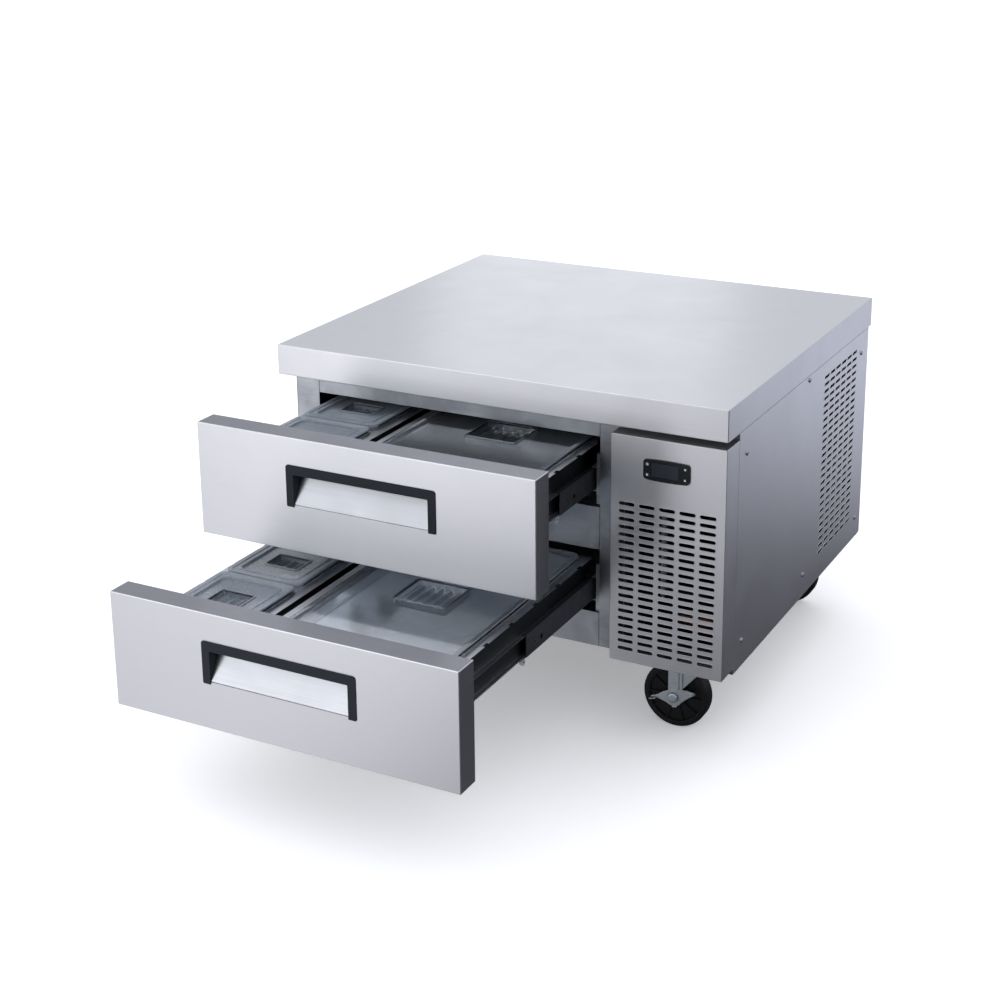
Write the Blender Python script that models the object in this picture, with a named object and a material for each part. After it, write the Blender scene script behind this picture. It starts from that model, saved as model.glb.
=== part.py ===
"""Refrigerated chef base: a low two-drawer refrigerated stand on casters.

Metres, +Z up, floor at z = 0. +X is the machine side, -Y is the front. The origin is on the
floor under the middle of the object with its drawers drawn out: upper half way, lower fully.
"""

import math
from dataclasses import dataclass

import bmesh
import bpy
import numpy as np
from mathutils import Matrix, Vector

for old_object in list(bpy.data.objects):
    bpy.data.objects.remove(old_object, do_unlink=True)

# Clearances
GAP = 0.0003
RUNNING_GAP = 0.0005
OVERRUN = 0.002

# Food pans, which set the size of the drawers, and so of the cabinet
PAN_DEPTH = 0.100
PAN_WALL = 0.0025
PAN_RIM = 0.016
PAN_RIM_THICKNESS = 0.003
PAN_TAPER = 0.006
PAN_CORNER = 0.018
PAN_FOOT_RADIUS = 0.010
LID_HEIGHT = 0.0065
LID_MARGIN = 0.0015
LID_RIM = 0.008
LID_SLOPE = 0.0015
LID_SINK = 0.0042
FULL_PAN_WIDTH = 0.325
FULL_PAN_LENGTH = 0.530
SMALL_PAN_WIDTH = 0.162
SMALL_PAN_COUNT = 3
PAN_SPACING = 0.001
PAN_FRONT = 0.0587

# Worktop
WORKTOP_EDGE = 0.059
WORKTOP_SHEET = 0.0015
WORKTOP_RETURN = 0.014

# How far the half-open upper drawer stands out of its closed place
UPPER_OUT = 0.2833

# Cabinet casing
MACHINE_WIDTH = 0.2182
CABINET_INSET = 0.0005
FRAME_SETBACK = 0.0583
REAR_SETBACK = 0.0155
PANEL_SHEET = 0.001
PANEL_LIFT = 0.0025
BASE_SHEET = 0.0015

# Face frame
FRAME_SHEET = 0.0015
STILE_WIDTH = 0.0506
HEADER_HEIGHT = 0.0459
MID_RAIL_HEIGHT = 0.083
BOTTOM_RAIL_HEIGHT = 0.0675
UPPER_OPENING_SPARE = 0.0352
LOWER_OPENING_SPARE = 0.0244
MID_RAIL_DEPTH = 0.040
MACHINE_WINDOW_MARGIN = 0.012

# Insulated body and liner
LINER_SHEET = 0.001
LINER_AIR_ROOM = 0.160
REAR_FOAM = 0.0611
LINER_ROOM_ABOVE = 0.010
LINER_ROOM_BELOW = 0.008
BULKHEAD = 0.044

# Front cover of the machine compartment
COVER_EDGE = 0.0033
COVER_TOP_GAP = 0.0131
COVER_BOTTOM_GAP = 0.0119
COVER_SHEET = 0.0012
COVER_SLOT_HEIGHT = 0.005
COVER_SLOT_COLUMNS = 5
COVER_SLOT_ROWS = 20
COVER_SLOT_BRIDGE = 0.0076
COVER_SLOT_LEFT = 0.016
COVER_SLOT_RIGHT = 0.0173
COVER_SLOT_DROP = 0.125
COVER_SLOT_FOOT = 0.0236

# Louvres of the right side panel
SIDE_SLOT_LENGTH = 0.029
SIDE_SLOT_HEIGHT = 0.005
SIDE_SLOT_COLUMNS = 6
SIDE_SLOT_ROWS = 26
SIDE_SLOT_PITCH_Y = 0.0359
SIDE_SLOT_REAR = 0.0925
SIDE_SLOT_DROP = 0.028
SIDE_SLOT_FOOT = 0.05675

# Controller
BEZEL_WIDTH = 0.086
BEZEL_HEIGHT = 0.040
BEZEL_PROUD = 0.0035
BEZEL_CORNER = 0.006
BEZEL_DROP = 0.035
BEZEL_LEFT = 0.0631
CONTROLLER_WIDTH = 0.071
CONTROLLER_HEIGHT = 0.029
CONTROLLER_DEPTH = 0.045
WINDOW_WIDTH = 0.0506
WINDOW_HEIGHT = 0.025
WINDOW_LEFT = 0.0151
WINDOW_RECESS = 0.0006
BUTTON_WIDTH = 0.008
BUTTON_HEIGHT = 0.007
BUTTON_THICKNESS = 0.0028
BUTTON_PROUD = 0.0006
BUTTON_TRAVEL = 0.0005
BUTTON_SIDE_INSET = 0.0078
BUTTON_RISE = 0.0098

# Drawer fronts
FRONT_MARGIN = 0.1107
FRONT_THICKNESS = 0.0471
FRONT_INSET = 0.019
FRONT_OVERLAP = 0.0425
FRONT_TOP_GAP = 0.0081
FRONT_SPACING = 0.0115
FRONT_SKIN = 0.0012
INNER_PANEL_DEPTH = 0.014

# Recessed pulls
PULL_WIDTH = 0.300
PULL_HEIGHT = 0.078
PULL_LEG = 0.0155
PULL_BAR = 0.018
PULL_RISE = 0.0165
PULL_FLANGE = 0.0012
PULL_CORNER = 0.006
CHEEK_THICKNESS = 0.0022
SCOOP_DEPTH = 0.028
SCOOP_LIFT = 0.005
FINGER_RISE = 0.010
LIP_DEPTH = 0.010

# Drawer frames
DRAWER_SHEET = 0.0015
FLANGE_OUTWARD = 0.012
FLANGE_INWARD = 0.0153
END_LEDGE = 0.0235
UPPER_FRAME_DROP = 0.058
LOWER_FRAME_DROP = 0.050
FLANGE_NOTCH_LENGTH = 0.014
FLANGE_NOTCH_DEPTH = 0.005
FLANGE_NOTCH_PITCH_SHARE = 0.1674
FLANGE_NOTCH_FIRST = 0.187
FLANGE_NOTCH_COUNT = 5
DIVIDER_WIDTH = 0.0571
DIVIDER_BAR = 0.0177
DIVIDER_GROOVE = 0.015
DIVIDER_GROOVE_DEPTH = 0.022

# Drawer slides, their heights as shares of the pans' depth
SLIDE_DROP_SHARE = 0.425
SLIDE_HEIGHT_SHARE = 0.425
HANGER_OVERHANG_SHARE = 0.28
SLIDE_HOLE_DROP_SHARE = 0.26
SLIDE_START = 0.0025
SLIDE_STEEL = 0.0015
SLIDE_MEMBER_WIDTH = 0.0095
SLIDE_HANGER = 0.0067
HANGER_DEPTH = 0.014
SLIDE_NOTCH = 0.008
SLIDE_NOTCH_BACK = 0.058
SLIDE_HOLE = 0.004
SLIDE_HOLE_BACK = 0.033

# Machine compartment
TRAY_SHEET = 0.0012
TRAY_FOLD = 0.015
TRAY_MARGIN = 0.008
COMPRESSOR_MARGIN = 0.0241
COMPRESSOR_RADIUS_SHARE = 0.44
COMPRESSOR_HEIGHT = 0.185
COMPRESSOR_BACK = 0.470
COMPRESSOR_FOOT_SHEET = 0.004
COIL_BACK = 0.130
COIL_MARGIN = 0.0141
COIL_HEIGHT = 0.250
COIL_DEPTH = 0.055
COIL_END = 0.002
COIL_FINS = 12
COIL_FIN = 0.0012
SHROUD_DEPTH = 0.022
SHROUD_RIM = 0.011
MOTOR_RADIUS = 0.026
MOTOR_LENGTH = 0.045
MOTOR_ARM = 0.008
FAN_TIP_GAP = 0.006
FAN_HUB = 0.022
FAN_DEPTH = 0.016
FAN_BLADE_ROOT_SHARE = 0.8
FAN_BLADE_DEPTH_SHARE = 0.75
FAN_BLADES = 5
FAN_BLADE_SHEET = 0.0022
FAN_BLADE_PITCH = math.radians(28)
FAN_SHAFT = 0.004
PIPE_RADIUS = 0.005
PIPE_BEND = 0.030
PIPE_RISE = 0.045
PIPE_SIDES = 12
EVAPORATOR_WIDTH = 0.380
EVAPORATOR_HEIGHT = 0.200
EVAPORATOR_DROP = 0.060
EVAPORATOR_STANDOFF = 0.012
GLAND_SHANK = 0.019
GLAND_FLANGE = 0.030
GLAND_FLANGE_SHEET = 0.003
GLAND_BORE = 0.005
GLAND_PROUD = 0.012
GLAND_INSIDE = 0.014
GLAND_RISE = 0.060
GLAND_INSET = 0.110

# Casters
WHEEL_RADIUS = 0.0635
WHEEL_ROOM = 0.0112
WHEEL_WIDTH = 0.032
WHEEL_RIM = 0.012
WHEEL_DISH = 0.006
WHEEL_HUB_RADIUS = 0.018
WHEEL_BORE = 0.0062
WHEEL_STEPS = 32
AXLE_RADIUS = 0.0056
AXLE_HEAD_RADIUS = 0.0085
AXLE_HEAD = 0.006
CASTER_TRAIL = 0.038
CASTER_INSET_X = 0.092
CASTER_INSET_Y = 0.064
PLATE_LENGTH = 0.100
PLATE_WIDTH = 0.085
PLATE_SHEET = 0.003
PLATE_HOLE = 0.009
PLATE_HOLE_INSET = 0.012
RACE_RADIUS = 0.027
RACE_HEIGHT = 0.009
FORK_SHEET = 0.003
FORK_CROWN = 0.004
FORK_SIDE_GAP = 0.0035
FORK_TOP_LENGTH = 0.062
FORK_TIP_LENGTH = 0.023
FORK_TIP_BELOW = 0.012
PEDAL_SHEET = 0.0022
PEDAL_BORE = 0.0064
PEDAL_REACH = 0.046
PEDAL_NECK = 0.017
PEDAL_WING = 0.008
PEDAL_CREST = 0.0136
PEDAL_BELOW = 0.019
PEDAL_TREAD = 0.012
PEDAL_TILT = math.radians(13)

# Drawers: sizes that follow from the pans'
SMALL_PAN_LENGTH = (FULL_PAN_LENGTH - (SMALL_PAN_COUNT - 1) * PAN_SPACING) / SMALL_PAN_COUNT
DRAWER_FRAME_LENGTH = FULL_PAN_LENGTH + END_LEDGE
DRAWER_TRAVEL = FULL_PAN_LENGTH + PAN_RIM
LOWER_OUT = DRAWER_TRAVEL
FRONT_HEIGHT = PAN_DEPTH + FRONT_MARGIN
FLANGE_NOTCH_PITCH = FULL_PAN_LENGTH * FLANGE_NOTCH_PITCH_SHARE
SLIDE_LENGTH = DRAWER_FRAME_LENGTH + DRAWER_SHEET
SLIDE_DROP = PAN_DEPTH * SLIDE_DROP_SHARE
SLIDE_HEIGHT = PAN_DEPTH * SLIDE_HEIGHT_SHARE
SLIDE_HOLE_DROP = PAN_DEPTH * SLIDE_HOLE_DROP_SHARE
HANGER_OVERHANG = PAN_DEPTH * HANGER_OVERHANG_SHARE
SLIDE_LAYER = SLIDE_STEEL + RUNNING_GAP
DRAWER_WALL_HEIGHT = SLIDE_DROP + SLIDE_HEIGHT - SLIDE_LAYER

# Half widths from the middle of the opening, innermost first
WALL_INNER_HALF = (SMALL_PAN_WIDTH + DIVIDER_WIDTH + FULL_PAN_WIDTH) / 2 + RUNNING_GAP
WALL_HALF = WALL_INNER_HALF + DRAWER_SHEET
DRAWER_MEMBER_HALF = WALL_HALF + SLIDE_MEMBER_WIDTH
MIDDLE_MEMBER_HALF = DRAWER_MEMBER_HALF + SLIDE_LAYER
CABINET_MEMBER_HALF = MIDDLE_MEMBER_HALF + SLIDE_MEMBER_WIDTH / 2 + SLIDE_STEEL
HANGER_HALF = CABINET_MEMBER_HALF + SLIDE_HANGER
OPENING_HALF = HANGER_HALF + GAP

# Places that follow from the sizes
UPPER_OPENING_HEIGHT = PAN_DEPTH + UPPER_OPENING_SPARE
LOWER_OPENING_HEIGHT = PAN_DEPTH + LOWER_OPENING_SPARE
CABINET_HEIGHT = (HEADER_HEIGHT + UPPER_OPENING_HEIGHT + MID_RAIL_HEIGHT + LOWER_OPENING_HEIGHT
                  + BOTTOM_RAIL_HEIGHT)
OPENING_WIDTH = 2 * OPENING_HALF
LINER_DEPTH = FULL_PAN_LENGTH + LINER_AIR_ROOM
SIDE_LAYERS = CABINET_INSET + PANEL_SHEET + GAP
WORKTOP_WIDTH = STILE_WIDTH + OPENING_WIDTH + BULKHEAD + MACHINE_WIDTH + 2 * SIDE_LAYERS
FRONT_LAYERS = FRAME_SETBACK + FRAME_SHEET + GAP
REAR_LAYERS = REAR_FOAM + GAP + PANEL_SHEET + REAR_SETBACK
WORKTOP_DEPTH = FRONT_LAYERS + LINER_DEPTH + REAR_LAYERS
PULL_FRONT = GAP + PULL_FLANGE
FRONT_Y = (LOWER_OUT + PULL_FRONT - WORKTOP_DEPTH) / 2
BACK_Y = FRONT_Y + WORKTOP_DEPTH
BASE_Z = 2 * WHEEL_RADIUS + WHEEL_ROOM + FORK_CROWN + RUNNING_GAP + RACE_HEIGHT + PLATE_SHEET + GAP
SKIRT_Z = BASE_Z + CABINET_HEIGHT
TOP_Z = SKIRT_Z + WORKTOP_EDGE
HALF_WIDTH = WORKTOP_WIDTH / 2
SIDE_X = HALF_WIDTH - CABINET_INSET
INSIDE_X = HALF_WIDTH - SIDE_LAYERS
FRAME_Y = FRONT_Y + FRAME_SETBACK
FRAME_BACK_Y = FRAME_Y + FRAME_SHEET
REAR_Y = BACK_Y - REAR_SETBACK
INSIDE_REAR_Y = REAR_Y - PANEL_SHEET - GAP
FRAME_TOP_Z = SKIRT_Z - GAP
OPENING_LEFT = STILE_WIDTH - INSIDE_X
OPENING_RIGHT = OPENING_LEFT + OPENING_WIDTH
OPENING_MIDDLE = (OPENING_LEFT + OPENING_RIGHT) / 2
UPPER_OPENING_TOP = SKIRT_Z - HEADER_HEIGHT
UPPER_OPENING_BOTTOM = UPPER_OPENING_TOP - UPPER_OPENING_HEIGHT
LOWER_OPENING_TOP = UPPER_OPENING_BOTTOM - MID_RAIL_HEIGHT
LOWER_OPENING_BOTTOM = LOWER_OPENING_TOP - LOWER_OPENING_HEIGHT
LINER_TOP = UPPER_OPENING_TOP + LINER_ROOM_ABOVE
LINER_BOTTOM = LOWER_OPENING_BOTTOM - LINER_ROOM_BELOW
LINER_FRONT_Y = FRONT_Y + FRONT_LAYERS
LINER_REAR_Y = LINER_FRONT_Y + LINER_DEPTH
BULKHEAD_X = OPENING_RIGHT + BULKHEAD
COVER_LEFT = BULKHEAD_X + COVER_EDGE
COVER_TOP = SKIRT_Z - COVER_TOP_GAP
COVER_BOTTOM = BASE_Z + COVER_BOTTOM_GAP
COVER_SLOT_SPAN = SIDE_X - COVER_LEFT - COVER_SLOT_LEFT - COVER_SLOT_RIGHT
COVER_SLOT_PITCH_X = (COVER_SLOT_SPAN + COVER_SLOT_BRIDGE) / COVER_SLOT_COLUMNS
COVER_SLOT_WIDTH = COVER_SLOT_PITCH_X - COVER_SLOT_BRIDGE
COVER_SLOT_RUN = COVER_TOP - COVER_BOTTOM - COVER_SLOT_DROP - COVER_SLOT_HEIGHT - COVER_SLOT_FOOT
COVER_SLOT_PITCH_Z = COVER_SLOT_RUN / (COVER_SLOT_ROWS - 1)
SIDE_SLOT_RUN = CABINET_HEIGHT - SIDE_SLOT_DROP - SIDE_SLOT_HEIGHT - SIDE_SLOT_FOOT
SIDE_SLOT_PITCH_Z = SIDE_SLOT_RUN / (SIDE_SLOT_ROWS - 1)
SIDE_SLOT_FRONT = BACK_Y - SIDE_SLOT_REAR - SIDE_SLOT_LENGTH - (SIDE_SLOT_COLUMNS - 1) * SIDE_SLOT_PITCH_Y
FLOOR_OF_MACHINE = BASE_Z + BASE_SHEET + GAP
MACHINE_X = (BULKHEAD_X + INSIDE_X) / 2
COMPRESSOR_FOOT = MACHINE_WIDTH - 2 * COMPRESSOR_MARGIN
COMPRESSOR_RADIUS = COMPRESSOR_FOOT * COMPRESSOR_RADIUS_SHARE
COIL_WIDTH = MACHINE_WIDTH - 2 * COIL_MARGIN


@dataclass(frozen=True)
class Finish:
    """Colour, metal share and roughness of one material."""

    name: str
    colour: tuple
    metallic: float
    roughness: float

    def material(self):
        found = bpy.data.materials.get(self.name)
        if found:
            return found
        made = bpy.data.materials.new(self.name)
        made.use_nodes = True
        shader = made.node_tree.nodes["Principled BSDF"]
        shader.inputs["Base Color"].default_value = (*self.colour, 1)
        shader.inputs["Metallic"].default_value = self.metallic
        shader.inputs["Roughness"].default_value = self.roughness
        return made


STAINLESS = Finish("brushed_stainless", (0.62, 0.62, 0.63), 1.0, 0.32)
DARK_STAINLESS = Finish("dark_stainless", (0.30, 0.30, 0.32), 1.0, 0.38)
GALVANISED = Finish("galvanised_steel", (0.50, 0.51, 0.52), 0.9, 0.5)
FOAM = Finish("insulation", (0.80, 0.76, 0.62), 0.0, 0.9)
BLACK_ABS = Finish("black_abs", (0.015, 0.016, 0.018), 0.0, 0.35)
LINER_PLASTIC = Finish("liner_plastic", (0.35, 0.36, 0.37), 0.0, 0.5)
BLACK_KEY = Finish("black_key", (0.03, 0.03, 0.035), 0.0, 0.5)
SLIDE_STEEL_FINISH = Finish("slide_steel", (0.22, 0.23, 0.24), 0.9, 0.45)
POLYCARBONATE = Finish("clear_polycarbonate", (0.55, 0.58, 0.62), 0.0, 0.12)
BLACK_STEEL = Finish("black_enamel", (0.02, 0.02, 0.02), 0.2, 0.4)
FIN_ALUMINIUM = Finish("fin_aluminium", (0.55, 0.56, 0.57), 1.0, 0.45)
ZINC = Finish("zinc_plate", (0.55, 0.57, 0.60), 1.0, 0.35)
WHEEL_RUBBER = Finish("hard_rubber", (0.02, 0.02, 0.022), 0.0, 0.55)


@dataclass(frozen=True)
class Carrier:
    """An empty on a joint's axis, with its place in the world."""

    empty: bpy.types.Object
    origin: Vector


def carrier(name, origin, parent=None):
    """Add an empty at a world point, under another carrier if there is one."""
    empty = bpy.data.objects.new(name, None)
    bpy.context.scene.collection.objects.link(empty)
    place = Vector(origin)
    if parent:
        empty.parent = parent.empty
        empty.location = place - parent.origin
    else:
        empty.location = place
    return Carrier(empty, place)


def new_object(name, bm, finish, on=None):
    """Turn a bmesh in world places into an object, with its origin on its carrier."""
    origin = on.origin if on else Vector((0, 0, 0))
    bmesh.ops.translate(bm, verts=bm.verts, vec=-origin)
    mesh = bpy.data.meshes.new(name)
    bm.to_mesh(mesh)
    bm.free()
    mesh.materials.append(finish.material())
    made = bpy.data.objects.new(name, mesh)
    bpy.context.scene.collection.objects.link(made)
    if on:
        made.parent = on.empty
    return made


def smooth(target, angle=math.radians(35)):
    """Shade a round piece smooth, with its corners kept sharp."""
    target.data.shade_smooth()
    target.data.set_sharp_from_angle(angle=angle)
    return target


def combine(target, bm, operation, on=None):
    """Cut a shape from an object, or join it on, by a Boolean with a hidden guide."""
    guide = new_object(f"{target.name}_{operation.lower()}_{len(target.modifiers)}", bm, STAINLESS, on)
    guide.hide_render = True
    guide.display_type = "WIRE"
    boolean = target.modifiers.new(operation.lower(), "BOOLEAN")
    boolean.operation = operation
    boolean.solver = "EXACT"
    boolean.object = guide
    return target


def cell_edges(boxes, axis):
    """Every different coordinate of the boxes along one axis, in order."""
    values = sorted(corner[axis] for box in boxes for corner in box)
    edges = [values[0]]
    for value in values[1:]:
        if value - edges[-1] > GAP / 100:
            edges.append(value)
    return np.array(edges)


def joined_boxes(solids, cuts=()):
    """One closed skin round boxes that touch or overlap, less the boxes that are cut away."""
    grid = [cell_edges([*solids, *cuts], axis) for axis in range(3)]
    middles = [(edges[1:] + edges[:-1]) / 2 for edges in grid]
    filled = np.zeros([len(middle) for middle in middles], bool)
    for boxes, full in ((solids, True), (cuts, False)):
        for low, high in boxes:
            inside = [(m > l) & (m < h) for m, l, h in zip(middles, low, high)]
            filled[np.ix_(*inside)] = full
    padded = np.pad(filled, 1).astype(np.int8)
    bm = bmesh.new()
    corners = {}

    def corner(index):
        if index not in corners:
            corners[index] = bm.verts.new([edges[i] for edges, i in zip(grid, index)])
        return corners[index]

    for axis in range(3):
        across, along = (axis + 1) % 3, (axis + 2) % 3
        steps = np.diff(padded, axis=axis)
        for place in np.argwhere(steps):
            loop = []
            for one, other in ((0, 0), (1, 0), (1, 1), (0, 1)):
                index = [0, 0, 0]
                index[axis] = int(place[axis])
                index[across] = int(place[across]) - 1 + one
                index[along] = int(place[along]) - 1 + other
                loop.append(corner(tuple(index)))
            if steps[tuple(place)] > 0:
                loop.reverse()
            bm.faces.new(loop)
    bmesh.ops.dissolve_limit(bm, angle_limit=math.radians(1), verts=bm.verts, edges=bm.edges)
    return bm


def box(low_x, high_x, low_y, high_y, low_z, high_z):
    """A box's low and high corner from its three spans."""
    return (low_x, low_y, low_z), (high_x, high_y, high_z)


def about(centre, half):
    """Low and high ends of a span round its middle."""
    return centre - half, centre + half


def prism(outline, axis, start, end):
    """Extrude a flat outline along an axis: (y, z) along X, (x, z) along Y, (x, y) along Z."""
    bm = bmesh.new()
    order = {"X": (None, 0, 1), "Y": (0, None, 1), "Z": (0, 1, None)}[axis]
    corners = []
    for point in outline:
        corners.append(bm.verts.new([start if pick is None else point[pick] for pick in order]))
    face = bm.faces.new(corners)
    grown = bmesh.ops.extrude_face_region(bm, geom=[face])["geom"]
    shift = Vector([end - start if pick is None else 0 for pick in order])
    bmesh.ops.translate(bm, verts=[v for v in grown if isinstance(v, bmesh.types.BMVert)], vec=shift)
    bmesh.ops.recalc_face_normals(bm, faces=bm.faces)
    return bm


def rounded_rectangle(centre, width, height, radius, steps=4):
    """Points of a rectangle with round corners, anticlockwise."""
    points = []
    corners = ((1, 1), (-1, 1), (-1, -1), (1, -1))
    for quarter, (side_x, side_y) in enumerate(corners):
        arc_x = centre[0] + side_x * (width / 2 - radius)
        arc_y = centre[1] + side_y * (height / 2 - radius)
        for step in range(steps + 1):
            angle = math.pi / 2 * (quarter + step / steps)
            points.append((arc_x + radius * math.cos(angle), arc_y + radius * math.sin(angle)))
    return points


def circle(centre, radius, steps):
    """Points of a regular polygon that stands for a circle."""
    angles = [math.tau * step / steps for step in range(steps)]
    return [(centre[0] + radius * math.cos(a), centre[1] + radius * math.sin(a)) for a in angles]


def turned(profile, centre, axis, steps):
    """Spin a closed (radius, height) profile once round an axis through a centre."""
    bm = bmesh.new()
    chain = [bm.verts.new((radius, 0, height)) for radius, height in profile]
    edges = [bm.edges.new(pair) for pair in zip(chain, chain[1:] + chain[:1])]
    bmesh.ops.spin(bm, geom=chain + edges, cent=(0, 0, 0), axis=(0, 0, 1), dvec=(0, 0, 0),
                   angle=math.tau, steps=steps, use_merge=True, use_duplicate=False)
    bmesh.ops.remove_doubles(bm, verts=bm.verts, dist=GAP / 10)
    flat = [edge for edge in bm.edges if not edge.link_faces]
    bmesh.ops.delete(bm, geom=flat, context="EDGES")
    bmesh.ops.recalc_face_normals(bm, faces=bm.faces)
    if axis == "Y":
        bmesh.ops.rotate(bm, verts=bm.verts, cent=(0, 0, 0), matrix=Matrix.Rotation(math.pi / 2, 3, "X"))
    bmesh.ops.translate(bm, verts=bm.verts, vec=Vector(centre))
    return bm


def loft(rings):
    """Skin a row of rings with equal counts, closed by its first and last ring."""
    bm = bmesh.new()
    made = [[bm.verts.new(point) for point in ring] for ring in rings]
    for one, other in zip(made, made[1:]):
        for i, vertex in enumerate(one):
            j = (i + 1) % len(one)
            bm.faces.new((vertex, one[j], other[j], other[i]))
    bm.faces.new(made[0])
    bm.faces.new(made[-1])
    bmesh.ops.recalc_face_normals(bm, faces=bm.faces)
    return bm


def rounded_route(corners, radius, steps=4):
    """A route with each inner corner replaced by an arc-like bend."""
    points = [Vector(corners[0])]
    for before, here, after in zip(corners, corners[1:], corners[2:]):
        corner = Vector(here)
        come = (Vector(before) - corner).normalized() * radius
        go = (Vector(after) - corner).normalized() * radius
        for step in range(steps + 1):
            share = step / steps
            points.append(corner + come * (1 - share) ** 2 + go * share ** 2)
    points.append(Vector(corners[-1]))
    return points


# Cabinet casing

def build_worktop():
    """Folded stainless tray, open below, with a return round its lower edge."""
    body = box(-HALF_WIDTH, HALF_WIDTH, FRONT_Y, BACK_Y, SKIRT_Z, TOP_Z)
    inside_x = HALF_WIDTH - WORKTOP_SHEET
    hollow = box(-inside_x, inside_x, FRONT_Y + WORKTOP_SHEET, BACK_Y - WORKTOP_SHEET,
                 SKIRT_Z + WORKTOP_SHEET, TOP_Z - WORKTOP_SHEET)
    mouth_x = HALF_WIDTH - WORKTOP_RETURN
    mouth = box(-mouth_x, mouth_x, FRONT_Y + WORKTOP_RETURN, BACK_Y - WORKTOP_RETURN,
                SKIRT_Z - OVERRUN, SKIRT_Z + WORKTOP_SHEET)
    new_object("worktop", joined_boxes([body], [hollow, mouth]), STAINLESS)


def build_side_panels():
    """Flat side sheets; the right one has the louvre slots of the machine compartment."""
    low_z = BASE_Z + PANEL_LIFT
    left = box(-SIDE_X, PANEL_SHEET - SIDE_X, FRAME_Y, REAR_Y, low_z, FRAME_TOP_Z)
    new_object("left_side_panel", joined_boxes([left]), STAINLESS)
    right = box(SIDE_X - PANEL_SHEET, SIDE_X, FRAME_Y, REAR_Y, low_z, FRAME_TOP_Z)
    slots = []
    for column in range(SIDE_SLOT_COLUMNS):
        slot_y = SIDE_SLOT_FRONT + column * SIDE_SLOT_PITCH_Y
        for row in range(SIDE_SLOT_ROWS):
            slot_z = SKIRT_Z - SIDE_SLOT_DROP - row * SIDE_SLOT_PITCH_Z
            slots.append(box(SIDE_X - PANEL_SHEET - OVERRUN, SIDE_X + OVERRUN,
                             slot_y, slot_y + SIDE_SLOT_LENGTH, slot_z - SIDE_SLOT_HEIGHT, slot_z))
    new_object("right_side_panel", joined_boxes([right], slots), STAINLESS)


def gland_place():
    """Middle of the cord gland on the back panel."""
    return INSIDE_X - GLAND_INSET, BASE_Z + GLAND_RISE


def build_back_panel():
    """Rear sheet between the side panels, with the square hole of the cord gland."""
    sheet = box(-INSIDE_X, INSIDE_X, REAR_Y - PANEL_SHEET, REAR_Y, BASE_Z + PANEL_LIFT, FRAME_TOP_Z)
    gland_x, gland_z = gland_place()
    half = GLAND_SHANK / 2 + GAP
    hole = box(*about(gland_x, half), REAR_Y - PANEL_SHEET - OVERRUN, REAR_Y + OVERRUN,
               *about(gland_z, half))
    new_object("back_panel", joined_boxes([sheet], [hole]), GALVANISED)


def build_base_pan():
    """Bottom sheet that carries both compartments and the casters, with the condensing unit's tray."""
    base_top = BASE_Z + BASE_SHEET
    sheet = box(-INSIDE_X, INSIDE_X, FRAME_BACK_Y + GAP, INSIDE_REAR_Y, BASE_Z, base_top)
    low_x, high_x = BULKHEAD_X + TRAY_MARGIN, INSIDE_X - TRAY_MARGIN
    low_y, high_y = FRAME_BACK_Y + TRAY_MARGIN, INSIDE_REAR_Y - TRAY_MARGIN
    tray = box(low_x, high_x, low_y, high_y, base_top, base_top + TRAY_FOLD)
    room = box(low_x + TRAY_SHEET, high_x - TRAY_SHEET, low_y + TRAY_SHEET, high_y - TRAY_SHEET,
               base_top + TRAY_SHEET, base_top + TRAY_FOLD + OVERRUN)
    new_object("base_pan", joined_boxes([sheet, tray], [room]), GALVANISED)


def build_front_frame():
    """Face frame: stile, header, channel-shaped middle rail, bottom rail and mullion."""
    plate = box(-INSIDE_X, INSIDE_X, FRAME_Y, FRAME_BACK_Y, BASE_Z, FRAME_TOP_Z)
    rail_x = (OPENING_LEFT + GAP, OPENING_RIGHT - GAP)
    rail_back = FRAME_Y + MID_RAIL_DEPTH
    shelf_above = box(*rail_x, FRAME_Y, rail_back, UPPER_OPENING_BOTTOM - FRAME_SHEET, UPPER_OPENING_BOTTOM)
    shelf_below = box(*rail_x, FRAME_Y, rail_back, LOWER_OPENING_TOP, LOWER_OPENING_TOP + FRAME_SHEET)
    cut_y = (FRAME_Y - OVERRUN, FRAME_BACK_Y + OVERRUN)
    upper = box(OPENING_LEFT, OPENING_RIGHT, *cut_y, UPPER_OPENING_BOTTOM, UPPER_OPENING_TOP)
    lower = box(OPENING_LEFT, OPENING_RIGHT, *cut_y, LOWER_OPENING_BOTTOM, LOWER_OPENING_TOP)
    machine = box(BULKHEAD_X + MACHINE_WINDOW_MARGIN, INSIDE_X - MACHINE_WINDOW_MARGIN, *cut_y,
                  COVER_BOTTOM + MACHINE_WINDOW_MARGIN, COVER_TOP - MACHINE_WINDOW_MARGIN)
    bm = joined_boxes([plate, shelf_above, shelf_below], [upper, lower, machine])
    new_object("front_frame", bm, STAINLESS)


def build_insulated_body():
    """Foamed box round the liner, with a slab that fills the worktop from below."""
    skin = LINER_SHEET + GAP
    body = box(-INSIDE_X, BULKHEAD_X, FRAME_BACK_Y + GAP, INSIDE_REAR_Y, FLOOR_OF_MACHINE, SKIRT_Z)
    slab_x = HALF_WIDTH - WORKTOP_RETURN - GAP
    slab = box(-slab_x, slab_x, FRONT_Y + WORKTOP_RETURN + GAP, BACK_Y - WORKTOP_RETURN - GAP,
               SKIRT_Z, TOP_Z - WORKTOP_SHEET - GAP)
    hollow = box(OPENING_LEFT - skin, OPENING_RIGHT + skin, FRAME_BACK_Y - OVERRUN, LINER_REAR_Y + GAP,
                 LINER_BOTTOM - skin, LINER_TOP + skin)
    new_object("insulated_body", joined_boxes([body, slab], [hollow]), FOAM)


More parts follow.
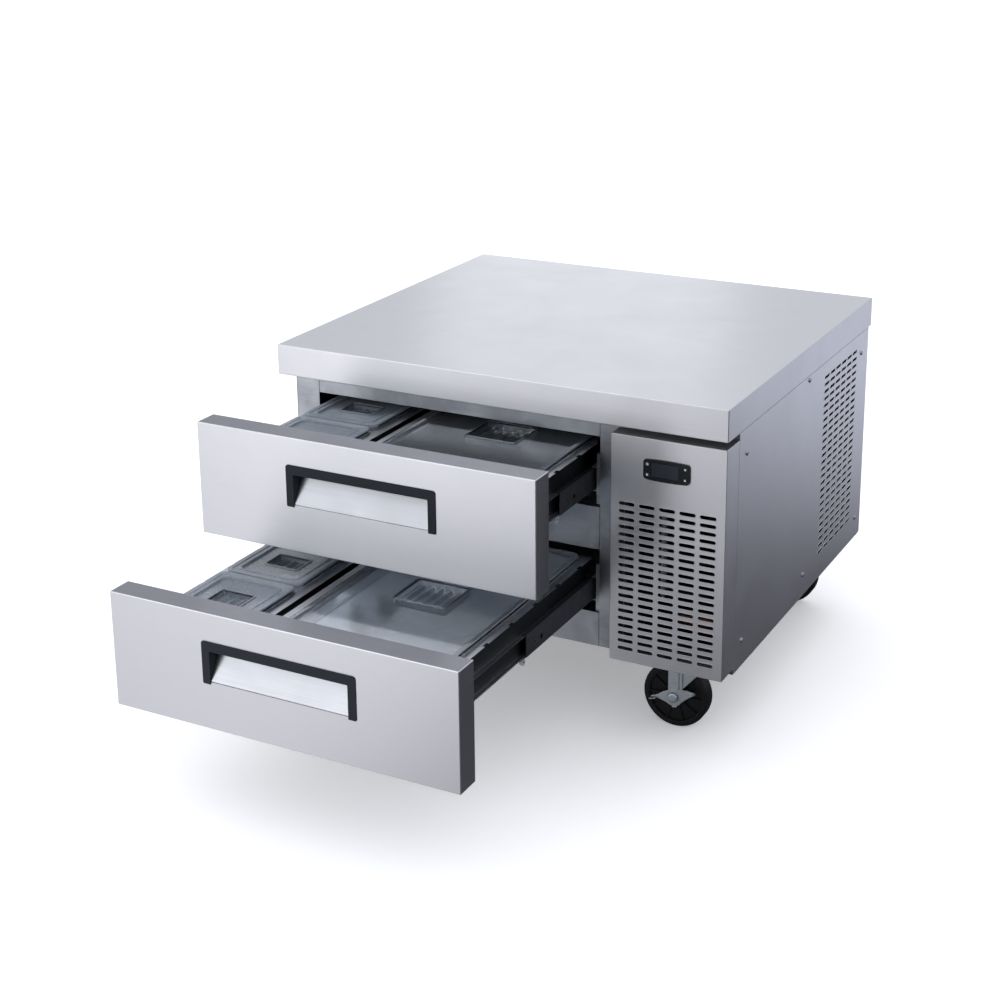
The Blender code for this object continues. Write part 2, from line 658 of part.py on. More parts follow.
def build_inner_liner():
    """Sheet liner of the cold compartment, open at the front."""
    shell = box(OPENING_LEFT - LINER_SHEET, OPENING_RIGHT + LINER_SHEET, LINER_FRONT_Y, LINER_REAR_Y,
                LINER_BOTTOM - LINER_SHEET, LINER_TOP + LINER_SHEET)
    room = box(OPENING_LEFT, OPENING_RIGHT, LINER_FRONT_Y - OVERRUN, LINER_REAR_Y - LINER_SHEET,
               LINER_BOTTOM, LINER_TOP)
    new_object("inner_liner", joined_boxes([shell], [room]), DARK_STAINLESS)


# Front cover and controller

def bezel_place():
    """Middle of the controller's bezel on the cover."""
    return COVER_LEFT + BEZEL_LEFT + BEZEL_WIDTH / 2, COVER_TOP - BEZEL_DROP - BEZEL_HEIGHT / 2


def build_front_cover():
    """Folded cover of the machine compartment, with air slots and the controller's hole."""
    right = SIDE_X - GAP
    back = FRAME_Y - GAP
    shell = box(COVER_LEFT, right, FRONT_Y, back, COVER_BOTTOM, COVER_TOP)
    room = box(COVER_LEFT + COVER_SHEET, right - COVER_SHEET, FRONT_Y + COVER_SHEET, back + OVERRUN,
               COVER_BOTTOM + COVER_SHEET, COVER_TOP - COVER_SHEET)
    cut_y = (FRONT_Y - OVERRUN, FRONT_Y + COVER_SHEET + OVERRUN)
    bezel_x, bezel_z = bezel_place()
    cuts = [room, box(*about(bezel_x, CONTROLLER_WIDTH / 2 + GAP), *cut_y,
                      *about(bezel_z, CONTROLLER_HEIGHT / 2 + GAP))]
    for column in range(COVER_SLOT_COLUMNS):
        slot_x = COVER_LEFT + COVER_SLOT_LEFT + column * COVER_SLOT_PITCH_X
        for row in range(COVER_SLOT_ROWS):
            slot_z = COVER_TOP - COVER_SLOT_DROP - row * COVER_SLOT_PITCH_Z
            cuts.append(box(slot_x, slot_x + COVER_SLOT_WIDTH, *cut_y, slot_z - COVER_SLOT_HEIGHT, slot_z))
    new_object("front_cover", joined_boxes([shell], cuts), STAINLESS)


def button_places():
    """Name and middle of each of the controller's four keys."""
    bezel_x, bezel_z = bezel_place()
    reach = BEZEL_WIDTH / 2 - BUTTON_SIDE_INSET
    return {
        "left_upper_button": (bezel_x - reach, bezel_z + BUTTON_RISE),
        "left_lower_button": (bezel_x - reach, bezel_z - BUTTON_RISE),
        "right_upper_button": (bezel_x + reach, bezel_z + BUTTON_RISE),
        "right_lower_button": (bezel_x + reach, bezel_z - BUTTON_RISE),
    }


def build_controller():
    """Black fascia with its case behind the cover, and four keys in their pockets."""
    bezel_x, bezel_z = bezel_place()
    face_y = FRONT_Y - GAP
    outline = rounded_rectangle((bezel_x, bezel_z), BEZEL_WIDTH, BEZEL_HEIGHT, BEZEL_CORNER)
    bezel = new_object("controller_bezel", prism(outline, "Y", face_y - BEZEL_PROUD, face_y), BLACK_ABS)
    case = joined_boxes([box(*about(bezel_x, CONTROLLER_WIDTH / 2), face_y - BEZEL_PROUD / 2,
                             face_y + CONTROLLER_DEPTH, *about(bezel_z, CONTROLLER_HEIGHT / 2))])
    combine(bezel, case, "UNION")
    window_low = bezel_x - BEZEL_WIDTH / 2 + WINDOW_LEFT
    front = face_y - BEZEL_PROUD
    cuts = [box(window_low, window_low + WINDOW_WIDTH, front - OVERRUN, front + WINDOW_RECESS,
                *about(bezel_z, WINDOW_HEIGHT / 2))]
    for name, (key_x, key_z) in button_places().items():
        span_x = about(key_x, BUTTON_WIDTH / 2)
        span_z = about(key_z, BUTTON_HEIGHT / 2)
        low_y = front - BUTTON_PROUD
        pocket_y = low_y + BUTTON_THICKNESS + BUTTON_TRAVEL + GAP
        cuts.append(box(span_x[0] - GAP, span_x[1] + GAP, front - OVERRUN, pocket_y,
                        span_z[0] - GAP, span_z[1] + GAP))
        on = carrier(f"{name}_axis", (key_x, low_y, key_z))
        key = joined_boxes([box(*span_x, low_y, low_y + BUTTON_THICKNESS, *span_z)])
        new_object(name, key, BLACK_KEY, on)
    for cut in cuts:
        combine(bezel, joined_boxes([cut]), "DIFFERENCE")


# Drawers

@dataclass(frozen=True)
class Drawer:
    """One drawer: its name, how far it stands out, its front's top and its frame's top."""

    name: str
    out: float
    front_top: float
    frame_drop: float

    @property
    def face_y(self):
        return FRONT_Y - self.out

    @property
    def frame_top(self):
        return self.front_top - self.frame_drop

    @property
    def slide_top(self):
        return self.frame_top - SLIDE_DROP


FRONT_LEFT = FRONT_INSET - HALF_WIDTH
FRONT_RIGHT = OPENING_RIGHT + FRONT_OVERLAP
FRONT_MIDDLE = (FRONT_LEFT + FRONT_RIGHT) / 2
UPPER_FRONT_TOP = SKIRT_Z - FRONT_TOP_GAP
LOWER_FRONT_TOP = UPPER_FRONT_TOP - FRONT_HEIGHT - FRONT_SPACING
DRAWERS = (
    Drawer("upper", UPPER_OUT, UPPER_FRONT_TOP, UPPER_FRAME_DROP),
    Drawer("lower", LOWER_OUT, LOWER_FRONT_TOP, LOWER_FRAME_DROP),
)


def pull_levels(drawer):
    """Heights of a pull: its top, the bar's lower edge, the scoop's lower edge and its bottom."""
    middle = drawer.front_top - FRONT_HEIGHT / 2 + PULL_RISE
    top = middle + PULL_HEIGHT / 2
    bottom = middle - PULL_HEIGHT / 2
    return top, top - PULL_BAR, bottom + SCOOP_LIFT, bottom


def build_drawer_front(drawer, on):
    """Outer skin of a drawer front, open behind, with the pressed pocket of its pull."""
    face = drawer.face_y
    top = drawer.front_top
    low = top - FRONT_HEIGHT
    back = face + FRONT_THICKNESS
    skin = new_object(f"{drawer.name}_drawer_front",
                      joined_boxes([box(FRONT_LEFT, FRONT_RIGHT, face, back, low, top)]), STAINLESS, on)
    hollow = new_object(f"{drawer.name}_front_hollow",
                        joined_boxes([box(FRONT_LEFT + FRONT_SKIN, FRONT_RIGHT - FRONT_SKIN,
                                          face + FRONT_SKIN, back + OVERRUN,
                                          low + FRONT_SKIN, top - FRONT_SKIN)]), STAINLESS, on)
    bar_low, scoop_low = pull_levels(drawer)[1:3]
    ceiling = bar_low + FINGER_RISE
    mouth = bar_low + CHEEK_THICKNESS + GAP
    deep = face + SCOOP_DEPTH
    pocket_half = PULL_WIDTH / 2 - PULL_LEG + CHEEK_THICKNESS + GAP
    middle = FRONT_MIDDLE
    near = face + FRONT_SKIN / 2
    far = deep + FRONT_SKIN
    cheek_skin = [(near, scoop_low - 2 * FRONT_SKIN), (far, bar_low - FRONT_SKIN),
                  (far, ceiling + FRONT_SKIN), (near, ceiling + FRONT_SKIN)]
    pressed = prism(cheek_skin, "X", *about(middle, pocket_half + FRONT_SKIN))
    combine(hollow, pressed, "DIFFERENCE", on)
    hollow.hide_render = True
    hollow.display_type = "WIRE"
    boolean = skin.modifiers.new("hollow", "BOOLEAN")
    boolean.operation = "DIFFERENCE"
    boolean.solver = "EXACT"
    boolean.object = hollow
    inner = face + 2 * FRONT_SKIN
    pocket = [(face - OVERRUN, scoop_low), (face, scoop_low), (deep, bar_low), (deep, ceiling),
              (inner, ceiling), (inner, mouth), (face - OVERRUN, mouth)]
    combine(skin, prism(pocket, "X", *about(middle, pocket_half)), "DIFFERENCE", on)


def build_drawer_pull(drawer, on):
    """Black inverted-U frame of the pull, with a lip under its bar and a cheek at each end."""
    top, bar_low, scoop_low, bottom = pull_levels(drawer)
    outer = PULL_WIDTH / 2
    inner = outer - PULL_LEG
    high_y = drawer.face_y - GAP
    low_y = high_y - PULL_FLANGE
    middle = FRONT_MIDDLE
    frame = rounded_rectangle((middle, (top + bottom) / 2), PULL_WIDTH, PULL_HEIGHT, PULL_CORNER)
    pull = new_object(f"{drawer.name}_drawer_pull", prism(frame, "Y", low_y, high_y), BLACK_ABS, on)
    window = joined_boxes([box(*about(middle, inner), low_y - OVERRUN, high_y + OVERRUN,
                               bottom - OVERRUN, bar_low)])
    combine(pull, window, "DIFFERENCE", on)
    seat = (low_y + high_y) / 2
    lip = joined_boxes([box(*about(middle, inner + CHEEK_THICKNESS), seat, drawer.face_y + LIP_DEPTH,
                            bar_low, bar_low + CHEEK_THICKNESS)])
    combine(pull, lip, "UNION", on)
    cheek = [(seat, scoop_low + 2 * CHEEK_THICKNESS), (seat, bar_low + CHEEK_THICKNESS / 2),
             (drawer.face_y + SCOOP_DEPTH - 2 * CHEEK_THICKNESS, bar_low + CHEEK_THICKNESS / 2)]
    for start, end in ((middle - inner - CHEEK_THICKNESS, middle - inner),
                       (middle + inner, middle + inner + CHEEK_THICKNESS)):
        combine(pull, prism(cheek, "X", start, end), "UNION", on)


def build_inner_panel(drawer, on):
    """Foam-backed inner panel that closes a drawer front from behind."""
    inset = FRONT_SKIN + GAP
    back = drawer.face_y + FRONT_THICKNESS
    slab = box(FRONT_LEFT + inset, FRONT_RIGHT - inset, back - INNER_PANEL_DEPTH, back,
               drawer.front_top - FRONT_HEIGHT + inset, drawer.front_top - inset)
    new_object(f"{drawer.name}_drawer_panel", joined_boxes([slab]), LINER_PLASTIC, on)


def mirrored(side, near, far):
    """A span of x at one side of the opening, from its two half widths."""
    ends = (OPENING_MIDDLE + side * near, OPENING_MIDDLE + side * far)
    return min(ends), max(ends)


def channel(side, outer_half, width, low_y, high_y, low_z, high_z):
    """Three boxes of a C channel whose web is outermost and whose lips point to the drawer."""
    web = box(*mirrored(side, outer_half - SLIDE_STEEL, outer_half), low_y, high_y, low_z, high_z)
    lips = mirrored(side, outer_half - width, outer_half)
    lower = box(*lips, low_y, high_y, low_z, low_z + SLIDE_STEEL)
    upper = box(*lips, low_y, high_y, high_z - SLIDE_STEEL, high_z)
    return [web, lower, upper]


def build_drawer_frame(drawer, on):
    """Open pan frame: side walls with flanges and slide members, end walls and two bars."""
    front = drawer.face_y + FRONT_THICKNESS + GAP
    back = front + DRAWER_FRAME_LENGTH
    top = drawer.frame_top
    low = top - DRAWER_WALL_HEIGHT
    under = top - DRAWER_SHEET
    member_top = drawer.slide_top - SLIDE_LAYER
    member_low = drawer.slide_top - SLIDE_HEIGHT + SLIDE_LAYER
    member_front = drawer.face_y + FRAME_SETBACK + FRAME_SHEET + SLIDE_START
    solids, cuts = [], []
    for side in (-1, 1):
        solids.append(box(*mirrored(side, WALL_INNER_HALF, WALL_HALF), front, back, low, top))
        solids.append(box(*mirrored(side, WALL_INNER_HALF - FLANGE_INWARD, WALL_HALF + FLANGE_OUTWARD),
                          front, back, under, top))
        solids.extend(channel(side, WALL_HALF + SLIDE_STEEL, SLIDE_STEEL, member_front, back,
                              member_low, member_top))
        reach = mirrored(side, WALL_HALF, DRAWER_MEMBER_HALF)
        solids.append(box(*reach, member_front, back, member_low, member_low + SLIDE_STEEL))
        solids.append(box(*reach, member_front, back, member_top - SLIDE_STEEL, member_top))
        notch = mirrored(side, WALL_HALF + FLANGE_OUTWARD - FLANGE_NOTCH_DEPTH,
                         WALL_HALF + FLANGE_OUTWARD + OVERRUN)
        for count in range(FLANGE_NOTCH_COUNT):
            notch_y = drawer.face_y + FLANGE_NOTCH_FIRST + count * FLANGE_NOTCH_PITCH
            cuts.append(box(*notch, notch_y, notch_y + FLANGE_NOTCH_LENGTH, under - OVERRUN, top + OVERRUN))
    across = (OPENING_MIDDLE - WALL_HALF, OPENING_MIDDLE + WALL_HALF)
    solids.append(box(*across, front, front + DRAWER_SHEET, low, top))
    solids.append(box(*across, front, front + END_LEDGE, under, top))
    solids.append(box(*across, back - DRAWER_SHEET, back, low, top))
    solids.append(box(*across, back - END_LEDGE, back, under, top))
    bar_left, groove_left, groove_right, bar_right = divider_edges()
    solids.append(box(bar_left, bar_right, front, back, under, top))
    solids.append(box(groove_left - DRAWER_SHEET, groove_right + DRAWER_SHEET, front, back,
                      top - DIVIDER_GROOVE_DEPTH - DRAWER_SHEET, top))
    cuts.append(box(groove_left, groove_right, front + END_LEDGE, back - END_LEDGE,
                    top - DIVIDER_GROOVE_DEPTH, top + OVERRUN))
    new_object(f"{drawer.name}_drawer_frame", joined_boxes(solids, cuts), DARK_STAINLESS, on)


def pan_columns():
    """Left edges of the column of small pans and of the full-size pan."""
    small_left = OPENING_MIDDLE - WALL_INNER_HALF + RUNNING_GAP
    full_left = OPENING_MIDDLE + WALL_INNER_HALF - RUNNING_GAP - FULL_PAN_WIDTH
    return small_left, full_left


def divider_edges():
    """Edges of the divider from left to right: its bar, its groove and its bar again."""
    small_left, full_left = pan_columns()
    small_right = small_left + SMALL_PAN_WIDTH
    ledge = PAN_RIM - 2 * RUNNING_GAP
    groove_left = small_right + DIVIDER_BAR
    return small_right - ledge, groove_left, groove_left + DIVIDER_GROOVE, full_left + ledge


def build_pan(name, left, front, width, length, top, on):
    """Clear food pan: a tapered tub that hangs by its flat rim."""
    middle = (left + width / 2, front + length / 2)
    rim_low = top + GAP
    rim_top = rim_low + PAN_RIM_THICKNESS
    floor = rim_top - PAN_DEPTH
    tub_width, tub_length = width - 2 * PAN_RIM, length - 2 * PAN_RIM

    def ring(shrink, radius, z):
        outline = rounded_rectangle(middle, tub_width - 2 * shrink, tub_length - 2 * shrink, radius, 2)
        return [(x, y, z) for x, y in outline]

    def rim_ring(z):
        return [(x, y, z) for x, y in rounded_rectangle(middle, width, length, PAN_CORNER, 2)]

    foot = PAN_TAPER + PAN_FOOT_RADIUS
    rings = [
        ring(foot, PAN_FOOT_RADIUS, floor),
        ring(PAN_TAPER, PAN_CORNER, floor + PAN_FOOT_RADIUS),
        ring(0, PAN_CORNER, rim_low),
        rim_ring(rim_low),
        rim_ring(rim_top),
        ring(PAN_WALL, PAN_CORNER, rim_top),
        ring(PAN_TAPER + PAN_WALL, PAN_CORNER, floor + PAN_FOOT_RADIUS + PAN_WALL),
        ring(foot + PAN_WALL, PAN_FOOT_RADIUS, floor + PAN_WALL),
    ]
    smooth(new_object(name, loft(rings), POLYCARBONATE, on))


def build_lid(name, left, front, width, length, top, on):
    """Flat lid on a pan's rim: a raised rim round a sunk panel."""
    middle = (left + width / 2, front + length / 2)
    low = top + GAP + PAN_RIM_THICKNESS + GAP
    levels = [(LID_MARGIN, low), (LID_MARGIN, low + LID_HEIGHT), (LID_MARGIN + LID_RIM, low + LID_HEIGHT),
              (LID_MARGIN + LID_RIM + LID_SLOPE, low + LID_HEIGHT - LID_SINK)]
    rings = []
    for inside, z in levels:
        outline = rounded_rectangle(middle, width - 2 * inside, length - 2 * inside, PAN_CORNER - inside, 2)
        rings.append([(x, y, z) for x, y in outline])
    smooth(new_object(name, loft(rings), POLYCARBONATE, on))


def build_pans(drawer, on):
    """A full-size pan under its lid and a column of small pans, hung by their rims in the frame."""
    small_left, full_left = pan_columns()
    front = drawer.face_y + PAN_FRONT
    build_pan(f"{drawer.name}_full_pan", full_left, front, FULL_PAN_WIDTH, FULL_PAN_LENGTH,
              drawer.frame_top, on)
    build_lid(f"{drawer.name}_full_lid", full_left, front, FULL_PAN_WIDTH, FULL_PAN_LENGTH,
              drawer.frame_top, on)
    for count, place in enumerate(("front", "middle", "rear")):
        pan_front = front + count * (SMALL_PAN_LENGTH + PAN_SPACING)
        build_pan(f"{drawer.name}_{place}_pan", small_left, pan_front, SMALL_PAN_WIDTH,
                  SMALL_PAN_LENGTH, drawer.frame_top, on)


def build_slides(drawer):
    """Cabinet members with their hangers, and the middle members that telescope in them."""
    start = LINER_FRONT_Y + SLIDE_START
    top = drawer.slide_top
    low = top - SLIDE_HEIGHT
    for side, word in ((-1, "left"), (1, "right")):
        solids = channel(side, CABINET_MEMBER_HALF, SLIDE_STEEL + SLIDE_MEMBER_WIDTH, start,
                         start + SLIDE_LENGTH, low - SLIDE_LAYER, top + SLIDE_LAYER)
        hanger = mirrored(side, CABINET_MEMBER_HALF - SLIDE_STEEL, HANGER_HALF)
        for hanger_front in (start, start + SLIDE_LENGTH - HANGER_DEPTH):
            solids.append(box(*hanger, hanger_front, hanger_front + HANGER_DEPTH,
                              low - HANGER_OVERHANG + SLIDE_LAYER, top + HANGER_OVERHANG))
        keep = mirrored(side, CABINET_MEMBER_HALF - SLIDE_STEEL - OVERRUN, CABINET_MEMBER_HALF - SLIDE_STEEL)
        room = box(*keep, start - OVERRUN, start, low, top)
        new_object(f"{drawer.name}_{word}_cabinet_slide", joined_boxes(solids, [room]), SLIDE_STEEL_FINISH)
        middle_start = start - drawer.out / 2
        middle_on = carrier(f"{drawer.name}_{word}_middle",
                            (OPENING_MIDDLE + side * MIDDLE_MEMBER_HALF, middle_start, top))
        member = channel(side, MIDDLE_MEMBER_HALF, SLIDE_MEMBER_WIDTH, middle_start,
                         middle_start + SLIDE_LENGTH, low, top)
        web = mirrored(side, MIDDLE_MEMBER_HALF - SLIDE_STEEL - OVERRUN / 4, MIDDLE_MEMBER_HALF + OVERRUN)
        hole_z = top - SLIDE_HOLE_DROP
        cuts = []
        for back, size in ((SLIDE_NOTCH_BACK, SLIDE_NOTCH), (SLIDE_HOLE_BACK, SLIDE_HOLE)):
            cuts.append(box(*web, *about(middle_start + back, size / 2), *about(hole_z, size / 2)))
        new_object(f"{drawer.name}_{word}_middle_slide", joined_boxes(member, cuts), SLIDE_STEEL_FINISH,
                   middle_on)


def build_drawers():
    """Both drawers, each on its own carrier, with their slides."""
    for drawer in DRAWERS:
        on = carrier(f"{drawer.name}_drawer", (FRONT_MIDDLE, drawer.face_y, drawer.front_top))
        build_drawer_front(drawer, on)
        build_drawer_pull(drawer, on)
        build_inner_panel(drawer, on)
        build_drawer_frame(drawer, on)
        build_pans(drawer, on)
        build_slides(drawer)


# Refrigeration

TRAY_TOP = BASE_Z + BASE_SHEET + TRAY_SHEET + GAP


def compressor_place():
    """Middle of the compressor's foot on the tray."""
    return MACHINE_X, FRONT_Y + COMPRESSOR_BACK, TRAY_TOP


def discharge_line():
    """Bent tube from the compressor's top, where it is brazed in, to the coil's top."""
    foot = Vector(compressor_place())
    start = foot + Vector((COMPRESSOR_RADIUS / 3, 0, COMPRESSOR_HEIGHT - COMPRESSOR_RADIUS / 3))
    coil_y = FRONT_Y + COIL_BACK + COIL_DEPTH / 2
    inlet_z = TRAY_TOP + COIL_HEIGHT + GAP
    above = max(foot.z + COMPRESSOR_HEIGHT, inlet_z) + PIPE_RISE
    corners = [start, (start.x, start.y, above), (start.x, coil_y, above), (start.x, coil_y, inlet_z)]
    route = rounded_route(corners, PIPE_BEND)
    rings = []
    for before, here, after in zip([route[0], *route], route, [*route[1:], route[-1]]):
        side = Vector((1, 0, 0))
        up = (after - before).normalized().cross(side)
        turns = [math.tau * step / PIPE_SIDES for step in range(PIPE_SIDES)]
        rings.append([here + PIPE_RADIUS * (math.cos(turn) * side + math.sin(turn) * up) for turn in turns])
    return loft(rings)


def build_compressor():
    """Hermetic compressor: a domed steel can on a square foot, with its discharge line."""
    centre = compressor_place()
    shoulder = COMPRESSOR_RADIUS / 3
    profile = [(0, 0), (COMPRESSOR_RADIUS - shoulder, 0)]
    for low, start in ((0, -math.pi / 2), (COMPRESSOR_HEIGHT - 2 * shoulder, 0)):
        for step in range(4):
            angle = start + math.pi / 2 * step / 3
            profile.append((COMPRESSOR_RADIUS - shoulder + shoulder * math.cos(angle),
                            low + shoulder + shoulder * math.sin(angle)))
    profile.append((0, COMPRESSOR_HEIGHT))
    can = turned(profile, centre, "Z", 24)
    compressor = new_object("compressor", can, BLACK_STEEL)
    foot = joined_boxes([box(*about(centre[0], COMPRESSOR_FOOT / 2), *about(centre[1], COMPRESSOR_FOOT / 2),
                             centre[2], centre[2] + COMPRESSOR_FOOT_SHEET)])
    combine(compressor, foot, "UNION")
    combine(compressor, discharge_line(), "UNION")
    smooth(compressor)


def build_coil(name, centre_x, front_y, low_z, width, height, facing, finish, standoff=0):
    """Finned coil block with a shroud round its fan, and the fan's motor on two arms.

    With a standoff, its two end plates run that much further back than its fins.
    """
    centre_z = low_z + height / 2
    span_x = about(centre_x, width / 2)
    back_y = front_y + COIL_DEPTH
    core = box(*span_x, front_y, back_y, low_z, low_z + height)
    near = back_y if facing > 0 else front_y
    shroud_y = sorted((near - facing * GAP, near + facing * SHROUD_DEPTH))
    side = min(width, height) / 2
    shroud = box(*about(centre_x, side), *shroud_y, *about(centre_z, side))
    cuts = []
    pitch = (height - COIL_END) / COIL_FINS
    cut_y = sorted((near, near - facing * (COIL_DEPTH + OVERRUN)))
    for count in range(COIL_FINS):
        fin_z = low_z + COIL_END + count * pitch
        cuts.append(box(span_x[0] + COIL_END, span_x[1] - COIL_END, *cut_y, fin_z, fin_z + pitch - COIL_FIN))
    if standoff:
        cuts.append(box(span_x[0] + COIL_END, span_x[1] - COIL_END, back_y - standoff, back_y + OVERRUN,
                        low_z - OVERRUN, low_z + height + OVERRUN))
    block = new_object(name, joined_boxes([core, shroud], cuts), finish)
    bore_y = sorted((near - facing * OVERRUN, near + facing * (SHROUD_DEPTH + OVERRUN)))
    bore = side - SHROUD_RIM
    combine(block, prism(circle((centre_x, centre_z), bore, 24), "Y", *bore_y), "DIFFERENCE")
    motor_near = near + facing * (SHROUD_DEPTH + MOTOR_ARM)
    motor_y = sorted((motor_near, motor_near + facing * MOTOR_LENGTH))
    combine(block, prism(circle((centre_x, centre_z), MOTOR_RADIUS, 16), "Y", *motor_y), "UNION")
    arm_y = sorted((near + facing * (SHROUD_DEPTH - MOTOR_ARM / 2), motor_near + facing * MOTOR_ARM))
    arms = joined_boxes([box(*about(centre_x, side), *arm_y, *about(centre_z, MOTOR_ARM / 2))],
                        [box(*about(centre_x, bore - FAN_TIP_GAP / 2),
                             *sorted((near, motor_near)), *about(centre_z, MOTOR_ARM))])
    combine(block, arms, "UNION")
    fan_y = near + facing * (SHROUD_DEPTH - FAN_DEPTH) / 2
    return Vector((centre_x, fan_y, centre_z)), motor_near, bore - FAN_TIP_GAP


def build_fan(name, centre, facing, motor_near, radius, finish):
    """Axial fan: a hub on its shaft with pitched blades."""
    on = carrier(f"{name}_axis", centre)
    far = centre.y + facing * FAN_DEPTH
    hub_y = sorted((centre.y, far))
    hub = prism(circle((centre.x, centre.z), FAN_HUB, 16), "Y", *hub_y)
    fan = new_object(name, hub, finish, on)
    shaft_y = sorted((far - facing * FAN_DEPTH / 2, motor_near - facing * RUNNING_GAP))
    combine(fan, prism(circle((centre.x, centre.z), FAN_SHAFT, 12), "Y", *shaft_y), "UNION", on)
    for count in range(FAN_BLADES):
        root = FAN_HUB * FAN_BLADE_ROOT_SHARE
        chord = FAN_DEPTH * FAN_BLADE_DEPTH_SHARE / math.sin(FAN_BLADE_PITCH)
        blade = joined_boxes([box(root, radius, *about(0, chord / 2), *about(0, FAN_BLADE_SHEET / 2))])
        turn = (Matrix.Rotation(math.tau * count / FAN_BLADES, 4, "Y")
                @ Matrix.Rotation(math.pi / 2 - FAN_BLADE_PITCH, 4, "X"))
        middle = Vector((centre.x, (centre.y + far) / 2, centre.z))
        bmesh.ops.transform(blade, matrix=Matrix.Translation(middle) @ turn, verts=blade.verts)
        combine(fan, blade, "UNION", on)


def build_refrigeration():
    """Condensing unit in the machine compartment and evaporator in the cold one."""
    build_compressor()
    centre, motor_near, fan_radius = build_coil("condenser_coil", MACHINE_X, FRONT_Y + COIL_BACK, TRAY_TOP,
                                                COIL_WIDTH, COIL_HEIGHT, 1, BLACK_STEEL)
    build_fan("condenser_fan", centre, 1, motor_near, fan_radius, BLACK_ABS)
    evaporator_low = LINER_TOP - EVAPORATOR_DROP - EVAPORATOR_HEIGHT
    evaporator_front = LINER_REAR_Y - LINER_SHEET - GAP - COIL_DEPTH
    centre, motor_near, fan_radius = build_coil("evaporator_coil", OPENING_MIDDLE, evaporator_front,
                                                evaporator_low, EVAPORATOR_WIDTH, EVAPORATOR_HEIGHT,
                                                -1, FIN_ALUMINIUM, EVAPORATOR_STANDOFF)
    build_fan("evaporator_fan", centre, -1, motor_near, fan_radius, BLACK_ABS)


def build_gland():
    """Cord gland in the back panel: a square shank behind a round flange, bored through."""
    gland_x, gland_z = gland_place()
    outer_y = REAR_Y + GAP
    flange = prism(circle((gland_x, gland_z), GLAND_FLANGE / 2, 20), "Y",
                   outer_y, outer_y + GLAND_FLANGE_SHEET)
    gland = new_object("cord_gland", flange, BLACK_ABS)
    shank = joined_boxes([box(*about(gland_x, GLAND_SHANK / 2), REAR_Y - GLAND_INSIDE,
                              outer_y + GLAND_FLANGE_SHEET / 2, *about(gland_z, GLAND_SHANK / 2))])
    combine(gland, shank, "UNION")
    nose = prism(circle((gland_x, gland_z), 2 * GLAND_BORE, 16), "Y",
                 outer_y + GLAND_FLANGE_SHEET / 2, outer_y + GLAND_PROUD)
    combine(gland, nose, "UNION")
    bore = prism(circle((gland_x, gland_z), GLAND_BORE, 16), "Y",
                 REAR_Y - GLAND_INSIDE - OVERRUN, outer_y + GLAND_PROUD + OVERRUN)
    combine(gland, bore, "DIFFERENCE")


# Casters

PLATE_TOP = BASE_Z - GAP
RACE_LOW = PLATE_TOP - PLATE_SHEET - RACE_HEIGHT
CROWN_TOP = RACE_LOW - RUNNING_GAP
FORK_INNER = WHEEL_WIDTH / 2 + FORK_SIDE_GAP
FORK_OUTER = FORK_INNER + FORK_SHEET


def axle_of(pivot):
    """Middle of a caster's axle, which trails its pivot towards the cabinet's middle."""
    return Vector((pivot.x - math.copysign(CASTER_TRAIL, pivot.x), pivot.y, WHEEL_RADIUS))


def build_caster_plate(name, pivot):
    """Top plate with four bolt holes and the upper race of the swivel."""
    plate_x = about(pivot.x, PLATE_LENGTH / 2)
    plate_y = about(pivot.y, PLATE_WIDTH / 2)
    holes = []
    for side_x in (-1, 1):
        for side_y in (-1, 1):
            hole_x = pivot.x + side_x * (PLATE_LENGTH / 2 - PLATE_HOLE_INSET)
            hole_y = pivot.y + side_y * (PLATE_WIDTH / 2 - PLATE_HOLE_INSET)
            holes.append(box(*about(hole_x, PLATE_HOLE / 2), *about(hole_y, PLATE_HOLE / 2),
                             PLATE_TOP - PLATE_SHEET - OVERRUN, PLATE_TOP + OVERRUN))
    sheet = box(*plate_x, *plate_y, PLATE_TOP - PLATE_SHEET, PLATE_TOP)
    plate = new_object(name, joined_boxes([sheet], holes), ZINC)
    race = prism(circle((pivot.x, pivot.y), RACE_RADIUS, 20), "Z", RACE_LOW, PLATE_TOP - PLATE_SHEET / 2)
    combine(plate, race, "UNION")


def build_fork(name, pivot, on):
    """Pressed fork: two tapered legs under a crown, with the axle bolt through its tips."""
    axle_x = axle_of(pivot).x
    inward = math.copysign(1, axle_x - pivot.x)
    tip = inward * FORK_TIP_LENGTH / 2
    low = WHEEL_RADIUS - FORK_TIP_BELOW
    crown_end = pivot.x - inward * FORK_TOP_LENGTH / 2
    outline = [(axle_x + tip, low), (axle_x - tip, low), (axle_x - tip, WHEEL_RADIUS + FORK_TIP_BELOW),
               (crown_end, CROWN_TOP), (axle_x + tip, CROWN_TOP)]
    fork = new_object(name, prism(outline, "Y", *about(pivot.y, FORK_OUTER)), ZINC, on)
    gap = joined_boxes([box(axle_x - PLATE_LENGTH, axle_x + PLATE_LENGTH, *about(pivot.y, FORK_INNER),
                            low - OVERRUN, CROWN_TOP - FORK_CROWN)])
    combine(fork, gap, "DIFFERENCE", on)
    reach = FORK_OUTER + PEDAL_SHEET + 2 * RUNNING_GAP
    axle = prism(circle((axle_x, WHEEL_RADIUS), AXLE_RADIUS, 12), "Y", *about(pivot.y, reach + AXLE_HEAD / 2))
    combine(fork, axle, "UNION", on)
    for start in (pivot.y - reach - AXLE_HEAD, pivot.y + reach):
        head = prism(circle((axle_x, WHEEL_RADIUS), AXLE_HEAD_RADIUS, 6), "Y", start, start + AXLE_HEAD)
        combine(fork, head, "UNION", on)


